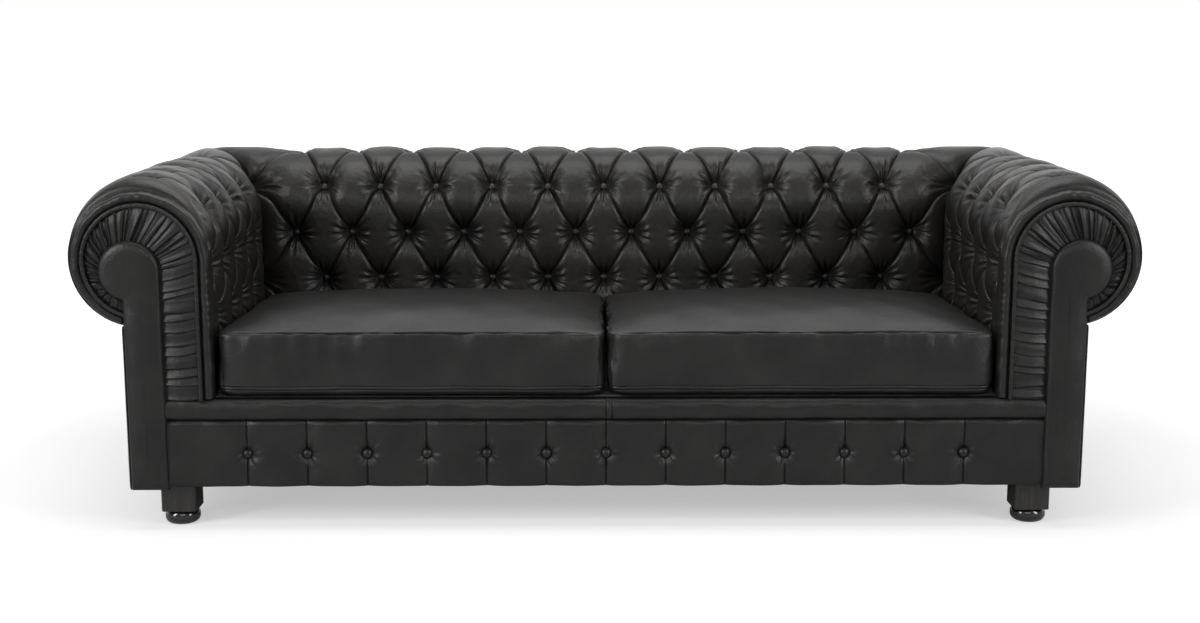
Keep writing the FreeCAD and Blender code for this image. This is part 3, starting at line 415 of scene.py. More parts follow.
def tufted_pad(last, step, corners, front_end, settle):
    """A closed pad over columns of buttons up to the last. settle turns places along, deep and high
    into the sofa's."""
    along = np.concatenate([warped(k, k + 1, STEPS)[(k > 0) :] for k in range(last)])
    across = len(along)
    low_rows = np.linspace((PAD_LOW - FIRST_ROW) / ROW_PITCH, 0, 6)[:-1]
    top_rows = np.concatenate([warped(k, k + 1, STEPS)[(k > 0) :] for k in range(LAST_ROW + 1)])
    end_row = (ROLL_HEIGHT + PAD_END * TRAVEL_RADIUS - FIRST_ROW) / ROW_PITCH
    roll_rows = np.linspace(LAST_ROW + 1, end_row, 22)[1:]
    a, b = np.meshgrid(along, np.concatenate([low_rows, top_rows, roll_rows]))
    fade = np.ones_like(a)
    if front_end:
        into_end = np.clip((a - last + 0.95) / 0.7, 0, 1)
        fade = 1 - into_end**2 * (3 - 2 * into_end)
    height = rumpled(pad_thickness(a, b, fade), a, b)
    height, strain = pulled_in(height, a, b, step, fade)
    travel = FIRST_ROW + b * ROW_PITCH
    height = mitred(height, a, travel, corners, step)
    if front_end:
        height = rounded_front(height, travel, (last - a) * step)
    depth, high = pad_place(travel, height)

    # the frame side: from the end under the roll, round the core and down to the lower edge
    turns = np.linspace(PAD_END, 0, INNER_ROWS - 2)
    inner_depth = np.append(ROLL_RADIUS - CORE_RADIUS * np.cos(turns), [CROWN, CROWN])
    inner_high = np.append(ROLL_HEIGHT + CORE_RADIUS * np.sin(turns), [0.42, PAD_LOW])
    depth = np.vstack([depth, np.repeat(inner_depth[:, None], across, 1)])
    high = np.vstack([high, np.repeat(inner_high[:, None], across, 1)])
    a = np.vstack([a, np.repeat(along[None, :], INNER_ROWS, 0)])
    shift = np.zeros_like(a)
    for corner in corners:
        share = np.clip(1 - np.abs(a - corner), 0, 1) ** MITRE_POWER
        shift += share * np.clip(depth, 0, None) * (1 if corner == last else -1)
    places = settle(a * step + shift, depth, high).reshape(-1, 3)
    strain = np.concatenate([strain.reshape(-1, 3), np.zeros((INNER_ROWS * across, 3))])

    bm = bmesh.new()
    bmesh.ops.create_grid(bm, x_segments=across - 1, y_segments=len(a) - 1, size=1)
    bm.verts.index_update()
    pucker = bm.verts.layers.float_vector.new("pucker")
    for vert, spot, tug in zip(bm.verts, places, strain):
        vert.co = spot
        vert[pucker] = tug
    grid = list(bm.verts)
    split_along_creases(bm, grid, across, len(low_rows))
    # the lower edge joins up, and the two ends are closed
    low_loop = grid[:across]
    high_loop = grid[-across:]
    for i in range(across - 1):
        bm.faces.new((low_loop[i], low_loop[i + 1], high_loop[i + 1], high_loop[i]))
    bmesh.ops.holes_fill(bm, edges=[edge for edge in bm.edges if edge.is_boundary])
    bmesh.ops.recalc_face_normals(bm, faces=bm.faces)
    return bm


pad_leather = leather(
    "pad_leather", (0.0085, 0.0079, 0.0074), (0.018, 0.0163, 0.0148), rough=0.34, puckers=True
)
BACK_COLUMNS = 24
BACK_STEP = 2 * SEAT_HALF / BACK_COLUMNS
ARM_COLUMNS = 10
ARM_STEP = 0.05845


def back_settle(along, depth, high):
    return np.stack([along - SEAT_HALF, BACK_FACE + depth, high], -1)


back = tufted_pad(BACK_COLUMNS, BACK_STEP, (0, BACK_COLUMNS), False, back_settle)
tufted_back = piece("tufted_back", back, pad_leather, "sofa_frame")
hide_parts("back_pad")

for side, sign in (("left", -1), ("right", 1)):
    def arm_settle(along, depth, high):
        return np.stack([sign * (SEAT_HALF + depth), BACK_FACE - along, high], -1)

    arm = tufted_pad(ARM_COLUMNS, ARM_STEP, (0,), True, arm_settle)
    tufted_arm = piece(side + "_tufted_arm", arm, pad_leather, "sofa_frame")
    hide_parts(side + "_arm_pad")


# Padded rims of the arm fronts: a leather-covered roll of wadding round the edge of each scroll
# board, over the top and down the seat side to the band. The tufted pad runs on into it.
SCROLL_X = 0.9245
SCROLL_Z = 0.5515
SCROLL_RADIUS = 0.12
BAND_TOP = 0.2705
# the rim's cross-section, from its inner edge round the front to its back, and how much it gives
RIM_RADII = (0.1125, 0.1165, 0.1210, 0.1270, 0.1320, 0.1352, 0.1366, 0.1370, 0.1368, 0.1365, 0.1125)
RIM_DEPTHS = (0.4335, 0.4378, 0.4425, 0.4440, 0.4422, 0.4385, 0.4335, 0.4280, 0.4215, 0.4152, 0.4152)
RIM_GIVES = (0, 0.4, 1, 1, 1, 1, 1, 1, 0.8, 0.3, 0)
smooth_leather = leather("smooth_leather", (0.0075, 0.0072, 0.0070), (0.0145, 0.0137, 0.013))


def lofted(rings):
    """A closed form through rings of points, all with as many points, capped at both ends."""
    count, around = rings.shape[:2]
    bm = bmesh.new()
    bmesh.ops.create_grid(bm, x_segments=around, y_segments=count - 1, size=1)
    places = np.concatenate([rings, rings[:, :1]], 1).reshape(-1, 3)
    for vert, spot in zip(bm.verts, places):
        vert.co = spot
    bmesh.ops.remove_doubles(bm, verts=bm.verts, dist=1e-6)
    ends = [edge for edge in bm.edges if edge.is_boundary]
    for edge in ends:
        edge.smooth = False
    bmesh.ops.holes_fill(bm, edges=ends)
    bmesh.ops.recalc_face_normals(bm, faces=bm.faces)
    return bm


def round_scroll(section, first_turn, steps):
    """Rings of points over the scroll and down the seat side. section gives the radii and depths of
    a ring, for how far along the way it is."""
    lengths = SCROLL_RADIUS * math.radians(180 - first_turn), SCROLL_Z - BAND_TOP
    on_arc = round(steps * lengths[0] / sum(lengths))
    turns = np.append(np.radians(np.linspace(first_turn, 180, on_arc)), np.full(steps - on_arc, math.pi))
    drops = np.append(np.zeros(on_arc), np.linspace(0, lengths[1], steps - on_arc + 1)[1:])
    travel = SCROLL_RADIUS * (turns - turns[0]) + drops
    radii, depths = section(travel[:, None])
    x = SCROLL_X + radii * np.cos(turns)[:, None]
    z = SCROLL_Z + radii * np.sin(turns)[:, None] - drops[:, None]
    return np.stack([x, depths + 0 * x, z], -1)


def rim_section(travel):
    radii = np.array(RIM_RADII)
    soft = np.array(RIM_GIVES)
    wave = 0.0007 * np.sin(travel * 61) + 0.0007 * np.sin(travel * 143 + 1)
    wave += 0.0006 * np.sin(travel * 389 + 2 * np.sin(travel * 31)) * (0.5 + 0.5 * np.sin(travel * 23))
    narrow = 0.004 * np.clip(1 - travel / 0.11, 0, 1) ** 2 * (radii > 0.125)
    return radii + wave * soft - narrow, -np.array(RIM_DEPTHS) - 0.6 * wave * soft


for side, sign in (("left", -1), ("right", 1)):
    rings = round_scroll(rim_section, -73, 230) * (sign, 1, 1)
    rim = piece(side + "_padded_rim", lofted(rings), smooth_leather, "sofa_frame")
    softened = rim.modifiers.new("softened", "SUBSURF")
    softened.levels = 1
    softened.render_levels = 1
    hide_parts(side + "_arm_rim")

# Piping round the arm fronts: leather sewn tight over a cord, and caught in the seam between the
# padded rim and the pleats. It follows the rim from under the roll down to the band.
PIPING_PATH = 0.112
PIPING_FRONT = 0.4445
PIPING_RADIUS = 0.0045
GATHER_PITCH = 0.0115
piping_leather = leather("piping_leather", (0.0075, 0.0072, 0.007), (0.0145, 0.0137, 0.013), 0.7, 0.38)


def piping_section(travel):
    around = np.linspace(0, 2 * math.pi, 13)[:-1]
    gather = 1 + 0.05 * np.sin(travel * 2 * math.pi / GATHER_PITCH) + 0.04 * np.sin(travel * 331)
    radius = PIPING_RADIUS * gather
    return PIPING_PATH + radius * np.cos(around), -PIPING_FRONT + radius * np.sin(around)


for side, sign in (("left", -1), ("right", 1)):
    rings = round_scroll(piping_section, -75, 420) * (sign, 1, 1)
    piping = piece(side + "_piping", lofted(rings), piping_leather, "sofa_frame")
    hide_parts(side + "_facing_piping")

# Pleated borders: a strip of leather laid in knife pleats between the piping and the plain panel,
# fanned round the head of the scroll and nearly level down its leg.
HEAD_X = 0.945
HEAD_Z = 0.533
HEAD_RADIUS = 0.061
STEM_OUTER = 0.960
HEAD_PLEATS = 27
LEG_PLEATS = 12
PLEAT_STEPS = 16
ACROSS = 18
BORDER_OUTER = 0.1105
BORDER_FACE = 0.4374
BOARD_FACE = 0.4335
PLEAT_TALL = 0.0056
PLEAT_DROP = 0.87


def border_rings(sign):
    arc_steps = HEAD_PLEATS * PLEAT_STEPS
    leg_steps = LEG_PLEATS * PLEAT_STEPS
    phase = np.linspace(0, HEAD_PLEATS + LEG_PLEATS, arc_steps + leg_steps + 1)
    # each pleat is laid a little wider or narrower than the next
    laid = phase + 0.16 * np.sin(phase * 2.4 + sign) + 0.10 * np.sin(phase * 5.3 + 2)
    head = np.clip(phase / HEAD_PLEATS, 0, 1)
    drop = np.clip(phase - HEAD_PLEATS, 0, None) / LEG_PLEATS
    outer_turn = np.radians(-73 + 253 * head)
    inner_turn = np.radians(-76 + 256 * head)
    outer_x = SCROLL_X + BORDER_OUTER * np.cos(outer_turn)
    outer_z = SCROLL_Z + BORDER_OUTER * np.sin(outer_turn) - drop * (SCROLL_Z - BAND_TOP)
    # the inner edge is tucked under the plain panel
    tucked = HEAD_RADIUS - 0.005
    inner_x = HEAD_X + tucked * np.cos(inner_turn)
    inner_z = HEAD_Z + tucked * np.sin(inner_turn) - drop * (HEAD_Z - BAND_TOP)
    share = np.linspace(0, 1, ACROSS)[None, :]
    x = outer_x[:, None] * (1 - share) + inner_x[:, None] * share
    z = outer_z[:, None] * (1 - share) + inner_z[:, None] * share
    # the folds lean over one another: each rises slowly and drops sharply under the next
    number = np.floor(laid)[:, None]
    bowed = laid[:, None] + 0.10 * np.sin(math.pi * share + number) * np.sin(number * 1.9)
    along = bowed - np.floor(bowed)
    fold = np.where(along < PLEAT_DROP, along / PLEAT_DROP, (1 - along) / 0.13)
    fold = fold**1.3
    tall = PLEAT_TALL + 0.0014 * np.sin(np.floor(bowed) * 2.3 + sign)
    puff = 0.0030 * np.sin(math.pi * np.clip(share * 1.08, 0, 1)) ** 0.8
    gathered = 0.55 + 0.45 * np.sin(math.pi * share)
    under = 0.0016 * bell(np.minimum(along, 1 - along), 0.07)
    out = BORDER_FACE + puff + tall * fold * gathered - under * gathered
    z = z - 0.0016 * np.sin(math.pi * share) * (drop > 0)[:, None]
    front = np.stack([x, -out, z], -1)
    back = front[:, [-1, 0]].copy()
    back[..., 1] = -BOARD_FACE
    return np.concatenate([front, back], 1) * (sign, 1, 1)


for side, sign in (("left", -1), ("right", 1)):
    pleats = piece(side + "_pleats", lofted(border_rings(sign)), smooth_leather, "sofa_frame")
    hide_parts(side + "_pleated_border")

# Plain panels of the arm fronts: keyhole-shaped boards wrapped in wadding and leather, pinned on
# over the raw edges of the pleats and the ends of the band.
PANEL_LOW = 0.084
# how far in from the outline the face has risen to each depth, from the back edge to the middle
PANEL_LAYERS = (
    (0.001, -0.4335), (0, -0.4365), (0, -0.4415), (0.0008, -0.4452), (0.0024, -0.4480),
    (0.0048, -0.4500), (0.0085, -0.4516), (0.014, -0.4532), (0.021, -0.4544), (0.029, -0.4551),
    (0.0365, -0.4553),
)


def keyhole(inset):
    """The panel's outline, drawn in by inset: up the seat side, over the head and down the outer side."""
    radius = HEAD_RADIUS - inset
    outer = STEM_OUTER - inset
    inner = HEAD_X - radius
    bottom = PANEL_LOW + inset
    end_turn = -math.acos(max(-1, (outer - HEAD_X) / radius))
    turns = np.linspace(math.pi, end_turn, 70)
    head = np.stack([HEAD_X + radius * np.cos(turns), HEAD_Z + radius * np.sin(turns)], -1)
    up = np.stack([np.full(60, inner), np.linspace(bottom, HEAD_Z, 61)[:-1]], -1)
    down = np.stack([np.full(60, outer), np.linspace(head[-1, 1], bottom, 61)[1:]], -1)
    foot = np.stack([np.linspace(outer, inner, 10)[1:-1], np.full(8, bottom)], -1)
    return np.concatenate([up, head, down, foot])


for side, sign in (("left", -1), ("right", 1)):
    layers = []
    for inset, depth in PANEL_LAYERS:
        outline = keyhole(inset)
        wave = 0.0010 * np.sin(outline[:, 1] * 31 + sign) + 0.0006 * np.sin(outline[:, 1] * 83 + 1)
        depths = depth + wave * min(1, inset / 0.01)
        layers.append(np.stack([outline[:, 0], depths, outline[:, 1]], -1))
    panel = lofted(np.array(layers) * (sign, 1, 1))
    for edge in panel.edges:
        edge.smooth = True
    facing = piece(side + "_plain_panel", panel, smooth_leather, "sofa_frame")
    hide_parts(side + "_facing_panel")


# The band under the cushions: leather over a roll of wadding along the front rail, joined in the
# middle by two upright seams.
FRONT_END = 0.885
FRONT_BACK = 0.415
BAND_LOW = 0.2282
BAND_HIGH = 0.2702
BAND_SEAM = 0.0125
EDGE_STANDS = 0.62


def board(along, low, high, swell, edge, count=26):
    """Rings of points along, out and up for a padded board. It is flat behind. In front it stands
    out by swell, and rounds off over its lower and upper edge."""
    share = 0.5 - 0.5 * np.cos(np.linspace(0, math.pi, count))
    a, s = np.meshgrid(along, share, indexing="ij")
    low = np.broadcast_to(low, along.shape)[:, None]
    high = np.broadcast_to(high, along.shape)[:, None]
    up = low + (high - low) * s
    near = np.clip(np.minimum(up - low, high - up) / edge, 0, 1)
    out = swell(a, up) * (EDGE_STANDS + 0.38 * np.sqrt(np.clip(1 - (1 - near) ** 2, 0, 1)))
    front = np.stack([a, out, up], -1)
    back = front[:, [-1, 0]].copy()
    back[..., 1] = 0
    return np.concatenate([front, back], 1)


def band_swell(x, z):
    seams = bell(x, 0.0016) + bell(x - BAND_SEAM, 0.0016)
    pulled = bell(x - 0.006, 0.02)
    wave = 0.0012 * np.sin(x * 23) * np.sin(z * 60) + 0.0008 * np.sin(x * 71 + z * 110)
    wave += 0.0004 * np.sin(x * 190 + np.sin(z * 90) * 1.5)
    return 0.0315 - 0.0028 * seams - 0.0008 * pulled + wave


plain_steps = np.linspace(-FRONT_END, FRONT_END, 240)
# finer steps over the two seams
seam_steps = np.linspace(-0.006, 0.0185, 36)
clear_of_seams = (plain_steps < -0.0065) | (plain_steps > 0.019)
band_along = np.sort(np.append(plain_steps[clear_of_seams], seam_steps))
rings = board(band_along, BAND_LOW, BAND_HIGH, band_swell, 0.021)
rings[..., 1] = -FRONT_BACK - rings[..., 1]
band = piece("cushion_band", lofted(rings), smooth_leather, "sofa_frame")
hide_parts("front_band")

# The buttoned panel below the band: padded leather drawn in by thirteen buttons, with an upright
# fold through each, from the band to the lower edge.
BUTTON_PITCH = 0.121
BUTTON_Z = 0.156
BUTTONS_ASIDE = 6
LOWER_WAVES = ((6, 0.4), (9, 0.5), (13, 0.35))


def panel_swell(x, z):
    number = np.clip(np.round(x / BUTTON_PITCH), -BUTTONS_ASIDE, BUTTONS_ASIDE)
    from_fold = np.abs(x / BUTTON_PITCH - number)
    full = 1 - (1 - np.clip(from_fold * 2, 0, 1)) ** 2.6
    away = np.hypot(from_fold * BUTTON_PITCH, z - BUTTON_Z) + 1e-6
    turn = np.arctan2(z - BUTTON_Z, (x / BUTTON_PITCH - number) * BUTTON_PITCH)
    out = 0.0190 + 0.0080 * full
    out -= 0.0024 * bell(from_fold * BUTTON_PITCH, 0.0014)
    out -= 0.0095 * bell(away, 0.015)
    ring = away - 0.014
    near = np.where(ring < 0, bell(ring, 0.005), bell(ring, 0.016))
    out += 0.0019 * radial_folds(turn, number, LOWER_WAVES, 1.7, 0.6) * near
    out += 0.0011 * np.sin(x * 37 + z * 20) + 0.0008 * np.sin(x * 83 - z * 70)
    return out


# steps that lie closer together near each fold
spread = np.linspace(-7.3, 7.3, 14 * 44 + 1)
panel_along = BUTTON_PITCH * (spread - 0.75 * np.sin(2 * math.pi * spread) / (2 * math.pi))
panel_along = panel_along[np.abs(panel_along) < FRONT_END - 0.002]
panel_along = np.append(np.append(-FRONT_END, panel_along), FRONT_END)
rings = board(panel_along, 0.088, 0.2276, panel_swell, 0.012, 64)
rings[..., 1] = -FRONT_BACK - rings[..., 1]
lower = piece("buttoned_panel", lofted(rings), smooth_leather, "sofa_frame")
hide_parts("front_lower_panel")


# Outside panels of the arms and the back: leather over a thin layer of wadding, stretched and
# blind-tacked on the frame below the rolls.
OUTSIDE_LOW = 0.0842
OUTSIDE_HIGH = 0.4418
ARM_FRONT_HIGH = 0.4195
ARM_OUTSIDE = 0.9622
BACK_OUTSIDE = 0.3422


def outside_swell(first, last, low, high):
    def swell(along, up):
        ends = np.clip(np.minimum(along - first, last - along) / 0.012, 0, 1)
        ends = np.sqrt(np.clip(1 - (1 - ends) ** 2, 0, 1))
        middle = np.sin(math.pi * np.clip((along - first) / (last - first), 0, 1))
        middle = middle * np.sin(math.pi * np.clip((up - low) / (high - low), 0, 1))
        pulls = 0.0006 * np.sin(along * 29 + up * 17) + 0.0004 * np.sin(along * 71 - up * 43)
        return (0.0045 + 0.0035 * middle**0.5 + pulls * middle**0.3) * (0.3 + 0.7 * ends)
    return swell


arm_along = np.linspace(-0.4398, 0.3478, 170)
# the front edge, wrapped over the scroll board, ends lower
arm_top = np.where(arm_along < -0.4145, ARM_FRONT_HIGH, OUTSIDE_HIGH)
arm_swell = outside_swell(-0.44, 0.348, 0.084, 0.438)
for side, sign in (("left", -1), ("right", 1)):
    rings = board(arm_along, OUTSIDE_LOW, arm_top, arm_swell, 0.008, 60)
    rings = np.stack([sign * (ARM_OUTSIDE + rings[..., 1]), rings[..., 0], rings[..., 2]], -1)
    outside = piece(side + "_outside_arm", lofted(rings), smooth_leather, "sofa_frame")
    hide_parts(side + "_outside_arm_panel")
back_along = np.linspace(-0.9612, 0.9612, 300)
back_swell = outside_swell(-0.9615, 0.9615, 0.084, 0.438)
rings = board(back_along, OUTSIDE_LOW, OUTSIDE_HIGH, back_swell, 0.008, 60)
rings[..., 1] = BACK_OUTSIDE + rings[..., 1]
outside = piece("outside_back", lofted(rings), smooth_leather, "sofa_frame")
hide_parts("outside_back_panel")


# Seat platform: black woven cloth, drawn over the foam of the deck and tacked to the rails. It
# shows between the cushions, and when they are lifted.
DECK_TOP = 0.2684


def cloth(name, dark, light, scale):
    """A woven cloth: scale is how fine its threads are."""
    paint = bpy.data.materials.new(name)
    paint.use_nodes = True
    tree = paint.node_tree
    new = tree.nodes.new
    join = tree.links.new
    shader = tree.nodes["Principled BSDF"]
    place = new("ShaderNodeTexCoord").outputs["Object"]
    height = new("ShaderNodeMath")
    height.operation = "ADD"
    for number, axis in enumerate("XY"):
        threads = new("ShaderNodeTexWave")
        threads.bands_direction = axis
        threads.inputs["Scale"].default_value = scale
        threads.inputs["Distortion"].default_value = 0.8
        join(place, threads.inputs["Vector"])
        join(threads.outputs["Fac"], height.inputs[number])
    tint = new("ShaderNodeValToRGB")
    tint.color_ramp.elements[0].color = (*dark, 1)
    tint.color_ramp.elements[1].color = (*light, 1)
    join(height.outputs["Value"], tint.inputs["Fac"])
    join(tint.outputs["Color"], shader.inputs["Base Color"])
    weave = new("ShaderNodeBump")
    weave.inputs["Strength"].default_value = 0.5
    weave.inputs["Distance"].default_value = 0.0006
    join(height.outputs["Value"], weave.inputs["Height"])
    join(weave.outputs["Normal"], shader.inputs["Normal"])
    shader.inputs["Roughness"].default_value = 0.9
    shader.inputs["Sheen Weight"].default_value = 0.15
    return paint


platform_cloth = cloth("platform_cloth", (0.012, 0.012, 0.0125), (0.03, 0.03, 0.031), 110)


def deck_swell(x, y):
    tufts = np.sin(x * 9) * np.sin(y * 11)
    return 0.0022 + 0.0004 * tufts


rings = board(np.linspace(-0.8358, 0.8358, 90), -0.4142, 0.2178, deck_swell, 0.006, 40)
rings = np.stack([rings[..., 0], rings[..., 2], DECK_TOP + rings[..., 1]], -1)
deck = piece("seat_platform", lofted(rings), platform_cloth, "sofa_frame")
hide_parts("deck_cloth")

# Two loose seat cushions: sewn leather cases over foam with a crown of wadding. The top and the
# bottom are sewn to a boxing strip, the bottom with a double row. They are blown up by simulation.
CUSHION_X = 0.3935
CUSHION_Y = -0.135
HALF_WIDE = 0.3912
HALF_DEEP = 0.2995
CUSHION_UNDER = 0.2735
CUSHION_LOW = 0.294
CUSHION_HIGH = 0.404
CUSHION_FRONT = -0.435
CUSHION_SLOPE = 0.032
CUSHION_CROWN = 0.031
CORNER_RADIUS = 0.034
DOUBLE_ROW = 0.007
MOST_BULGE = 0.024
FILL_FRAMES = 20
cushion_leather = leather("cushion_leather", (0.0088, 0.0085, 0.0083), (0.0165, 0.0157, 0.015), 1, 0.38)


def cushion_case(sign):
    """The case as it is sewn, a box with rounded corners, before it is filled."""
    bm = bmesh.new()
    bmesh.ops.create_cube(bm, size=2)
    bmesh.ops.subdivide_edges(bm, edges=bm.edges, cuts=47, use_grid_fill=True)
    for vert in bm.verts:
        x, y, z = vert.co
        # the case is drawn in a little between its corners
        bow = 0.004
        wide = HALF_WIDE - bow * (1 - y * y)
        deep = HALF_DEEP - bow * (1 - x * x)
        place = [abs(x) * wide, abs(y) * deep]
        past = [place[0] - (wide - CORNER_RADIUS), place[1] - (deep - CORNER_RADIUS)]
        if min(past) > 0:
            shrink = max(past) / math.hypot(*past)
            place = [wide - CORNER_RADIUS + past[0] * shrink, deep - CORNER_RADIUS + past[1] * shrink]
        # the top is crowned, and sinks a little towards the back
        crown = (1 - abs(x) ** 3.2) * (1 - abs(y) ** 3.2)
        level = (z + 1) / 2
        deep_in = CUSHION_Y + math.copysign(place[1], y)
        high = CUSHION_HIGH + CUSHION_CROWN * crown**0.75 - CUSHION_SLOPE * (deep_in - CUSHION_FRONT)
        up = CUSHION_UNDER + (high - CUSHION_UNDER) * level
        under = 0.010 * max(0, (0.292 - up) / 0.0185) ** 2
        vert.co = (
            sign * CUSHION_X + math.copysign(max(0, place[0] - under * abs(x)), x),
            deep_in - math.copysign(under * abs(y), y),
            up,
        )
    return bm


def blown_up(bm):
    """The case filled from inside, held along its seams."""
    data = bpy.data.meshes.new("case")
    bm.to_mesh(data)
    bm.free()
    case = bpy.data.objects.new("case", data)
    scene.collection.objects.link(case)
    evened = case.modifiers.new("evened", "REMESH")
    evened.mode = "VOXEL"
    evened.voxel_size = 0.007
    found = bpy.context.evaluated_depsgraph_get()
    even = bpy.data.meshes.new_from_object(case.evaluated_get(found))
    case.modifiers.clear()
    case.data = even
    start = np.empty(len(even.vertices) * 3)
    even.vertices.foreach_get("co", start)
    start = start.reshape(-1, 3)
    seams = case.vertex_groups.new(name="seams")
    for number, spot in enumerate(start):
        seam = CUSHION_HIGH - CUSHION_SLOPE * (spot[1] - CUSHION_FRONT)
        near = min(abs(spot[2] - seam), abs(spot[2] - CUSHION_LOW))
        aside = abs(abs(spot[0]) - CUSHION_X) / HALF_WIDE
        along = abs(spot[1] - CUSHION_Y) / HALF_DEEP
        weight = 0.75 * math.exp(-((near / 0.006) ** 2)) if max(aside, along) > 0.93 else 0
        if spot[2] < 0.276:
            weight = 1
        if weight > 0.02:
            seams.add([number], weight, "REPLACE")
    fill = case.modifiers.new("fill", "CLOTH")
    fill.settings.use_pressure = True
    fill.settings.uniform_pressure_force = 4
    fill.settings.effector_weights.gravity = 0
    fill.settings.vertex_group_mass = "seams"
    fill.settings.quality = 5
    fill.settings.tension_stiffness = 22
    fill.settings.compression_stiffness = 16
    fill.settings.bending_stiffness = 1.2
    fill.point_cache.frame_start = 1
    fill.point_cache.frame_end = FILL_FRAMES
    for frame_number in range(1, FILL_FRAMES + 1):
        scene.frame_set(frame_number)
    found = bpy.context.evaluated_depsgraph_get()
    filled = bpy.data.meshes.new_from_object(case.evaluated_get(found))
    end = np.empty(len(filled.vertices) * 3)
    filled.vertices.foreach_get("co", end)
    move = end.reshape(-1, 3) - start
    far = np.linalg.norm(move, axis=1, keepdims=True)
    spots = start + move * np.minimum(1, MOST_BULGE / np.maximum(far, 1e-9))
    scene.frame_set(1)
    filled.vertices.foreach_set("co", spots.reshape(-1))
    bm = bmesh.new()
    bm.from_mesh(filled)
    bpy.data.objects.remove(case)
    return bm


for side, sign in (("left", -1), ("right", 1)):
    bm = blown_up(cushion_case(sign))
    bmesh.ops.smooth_vert(
        bm, verts=bm.verts, factor=0.5, use_axis_x=True, use_axis_y=True, use_axis_z=True
    )
    bmesh.ops.subdivide_edges(bm, edges=bm.edges, cuts=1, use_grid_fill=True, smooth=0.6)
    # edges along each row of stitches, so that it can sink in sharply
    for level, slope in ((CUSHION_HIGH, CUSHION_SLOPE), (CUSHION_LOW, 0), (CUSHION_LOW - DOUBLE_ROW, 0)):
        for step in (-0.0028, -0.0012, 0, 0.0012, 0.0028):
            whole = bm.verts[:] + bm.edges[:] + bm.faces[:]
            seat = (0, CUSHION_FRONT, level + step)
            bmesh.ops.bisect_plane(bm, geom=whole, plane_co=seat, plane_no=(0, slope, 1))
    bm.normal_update()
    spots = np.array([vert.co for vert in bm.verts])
    normals = np.array([vert.normal for vert in bm.verts])
    x, y, z = spots.T
    upright = 1 - np.abs(normals[:, 2])
    on_sides = np.clip(upright * 1.5, 0, 1)
    from_seam = z - CUSHION_HIGH + CUSHION_SLOPE * (y - CUSHION_FRONT)
    sewn = bell(from_seam, 0.0016)
    sewn += 0.7 * bell(z - CUSHION_LOW, 0.0013) + 0.7 * bell(z - CUSHION_LOW + DOUBLE_ROW, 0.0013)
    push = -0.0026 * sewn * np.clip(upright * 2, 0, 1)
    # the leather gathers below the upper seam in soft upright wrinkles
    run = np.where(np.abs(normals[:, 1]) > np.abs(normals[:, 0]), x, y)
    gather = 0.5 * np.sin(run * 118 + 3 * np.sin(run * 9 + sign))
    gather += 0.5 * np.sin(run * 61 + 2 * np.sin(run * 5))
    push += 0.0026 * gather * bell(from_seam, np.where(from_seam < 0, 0.05, 0.014)) * on_sides
    # and slants in towards the lower corners in a few longer folds
    slant = np.sin((run + 0.55 * (z - 0.27)) * 70) * np.sin(run * 11 + 2 * sign)
    push += 0.0014 * slant * bell(z - 0.315, 0.035) * on_sides
    push += 0.0018 * np.sin(run * 27 + 2 * np.sin(z * 25 + sign)) * on_sides
    # the top is rumpled a little by use
    top = np.clip(normals[:, 2], 0, 1)
    rumple = 0.0012 * np.sin(x * 17 + 2 * np.sin(y * 9)) * np.sin(y * 21 + sign)
    push += top * (rumple + 0.0006 * np.sin(x * 47 + y * 31))
    spots += normals * push[:, None]
    # the cushions stay clear of each other, of the pads and of the platform
    spots[:, 0] = sign * np.clip(sign * spots[:, 0], 0.0022, 0.7865)
    spots[:, 1] = np.clip(spots[:, 1], -0.4385, 0.1665)
    spots[:, 2] = np.clip(spots[:, 2], 0.2714, 0.4560)
    for vert, spot in zip(bm.verts, spots):
        vert.co = spot
    bmesh.ops.triangulate(bm, faces=[face for face in bm.faces if len(face.verts) > 4])
    bmesh.ops.recalc_face_normals(bm, faces=bm.faces)
    cushion = piece(side + "_seat_cushion_case", bm, cushion_leather, side + "_seat_cushion")
    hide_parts(side + "_cushion_cover", side + "_cushion_foam")


# Small leather-covered buttons on the pads and the lower panel: leather drawn tight over a metal
# shell, tied through to the frame behind.
button_leather = leather("button_leather", (0.0075, 0.0072, 0.007), (0.015, 0.0142, 0.0135), 0.6, 0.32)


def finish_nodes(paint, names):
    """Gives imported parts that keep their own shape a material."""
    for name in names:
        for slot in nodes[name].material_slots:
            slot.material = paint


finish_nodes(button_leather, ("back_buttons", "arm_buttons", "front_buttons"))

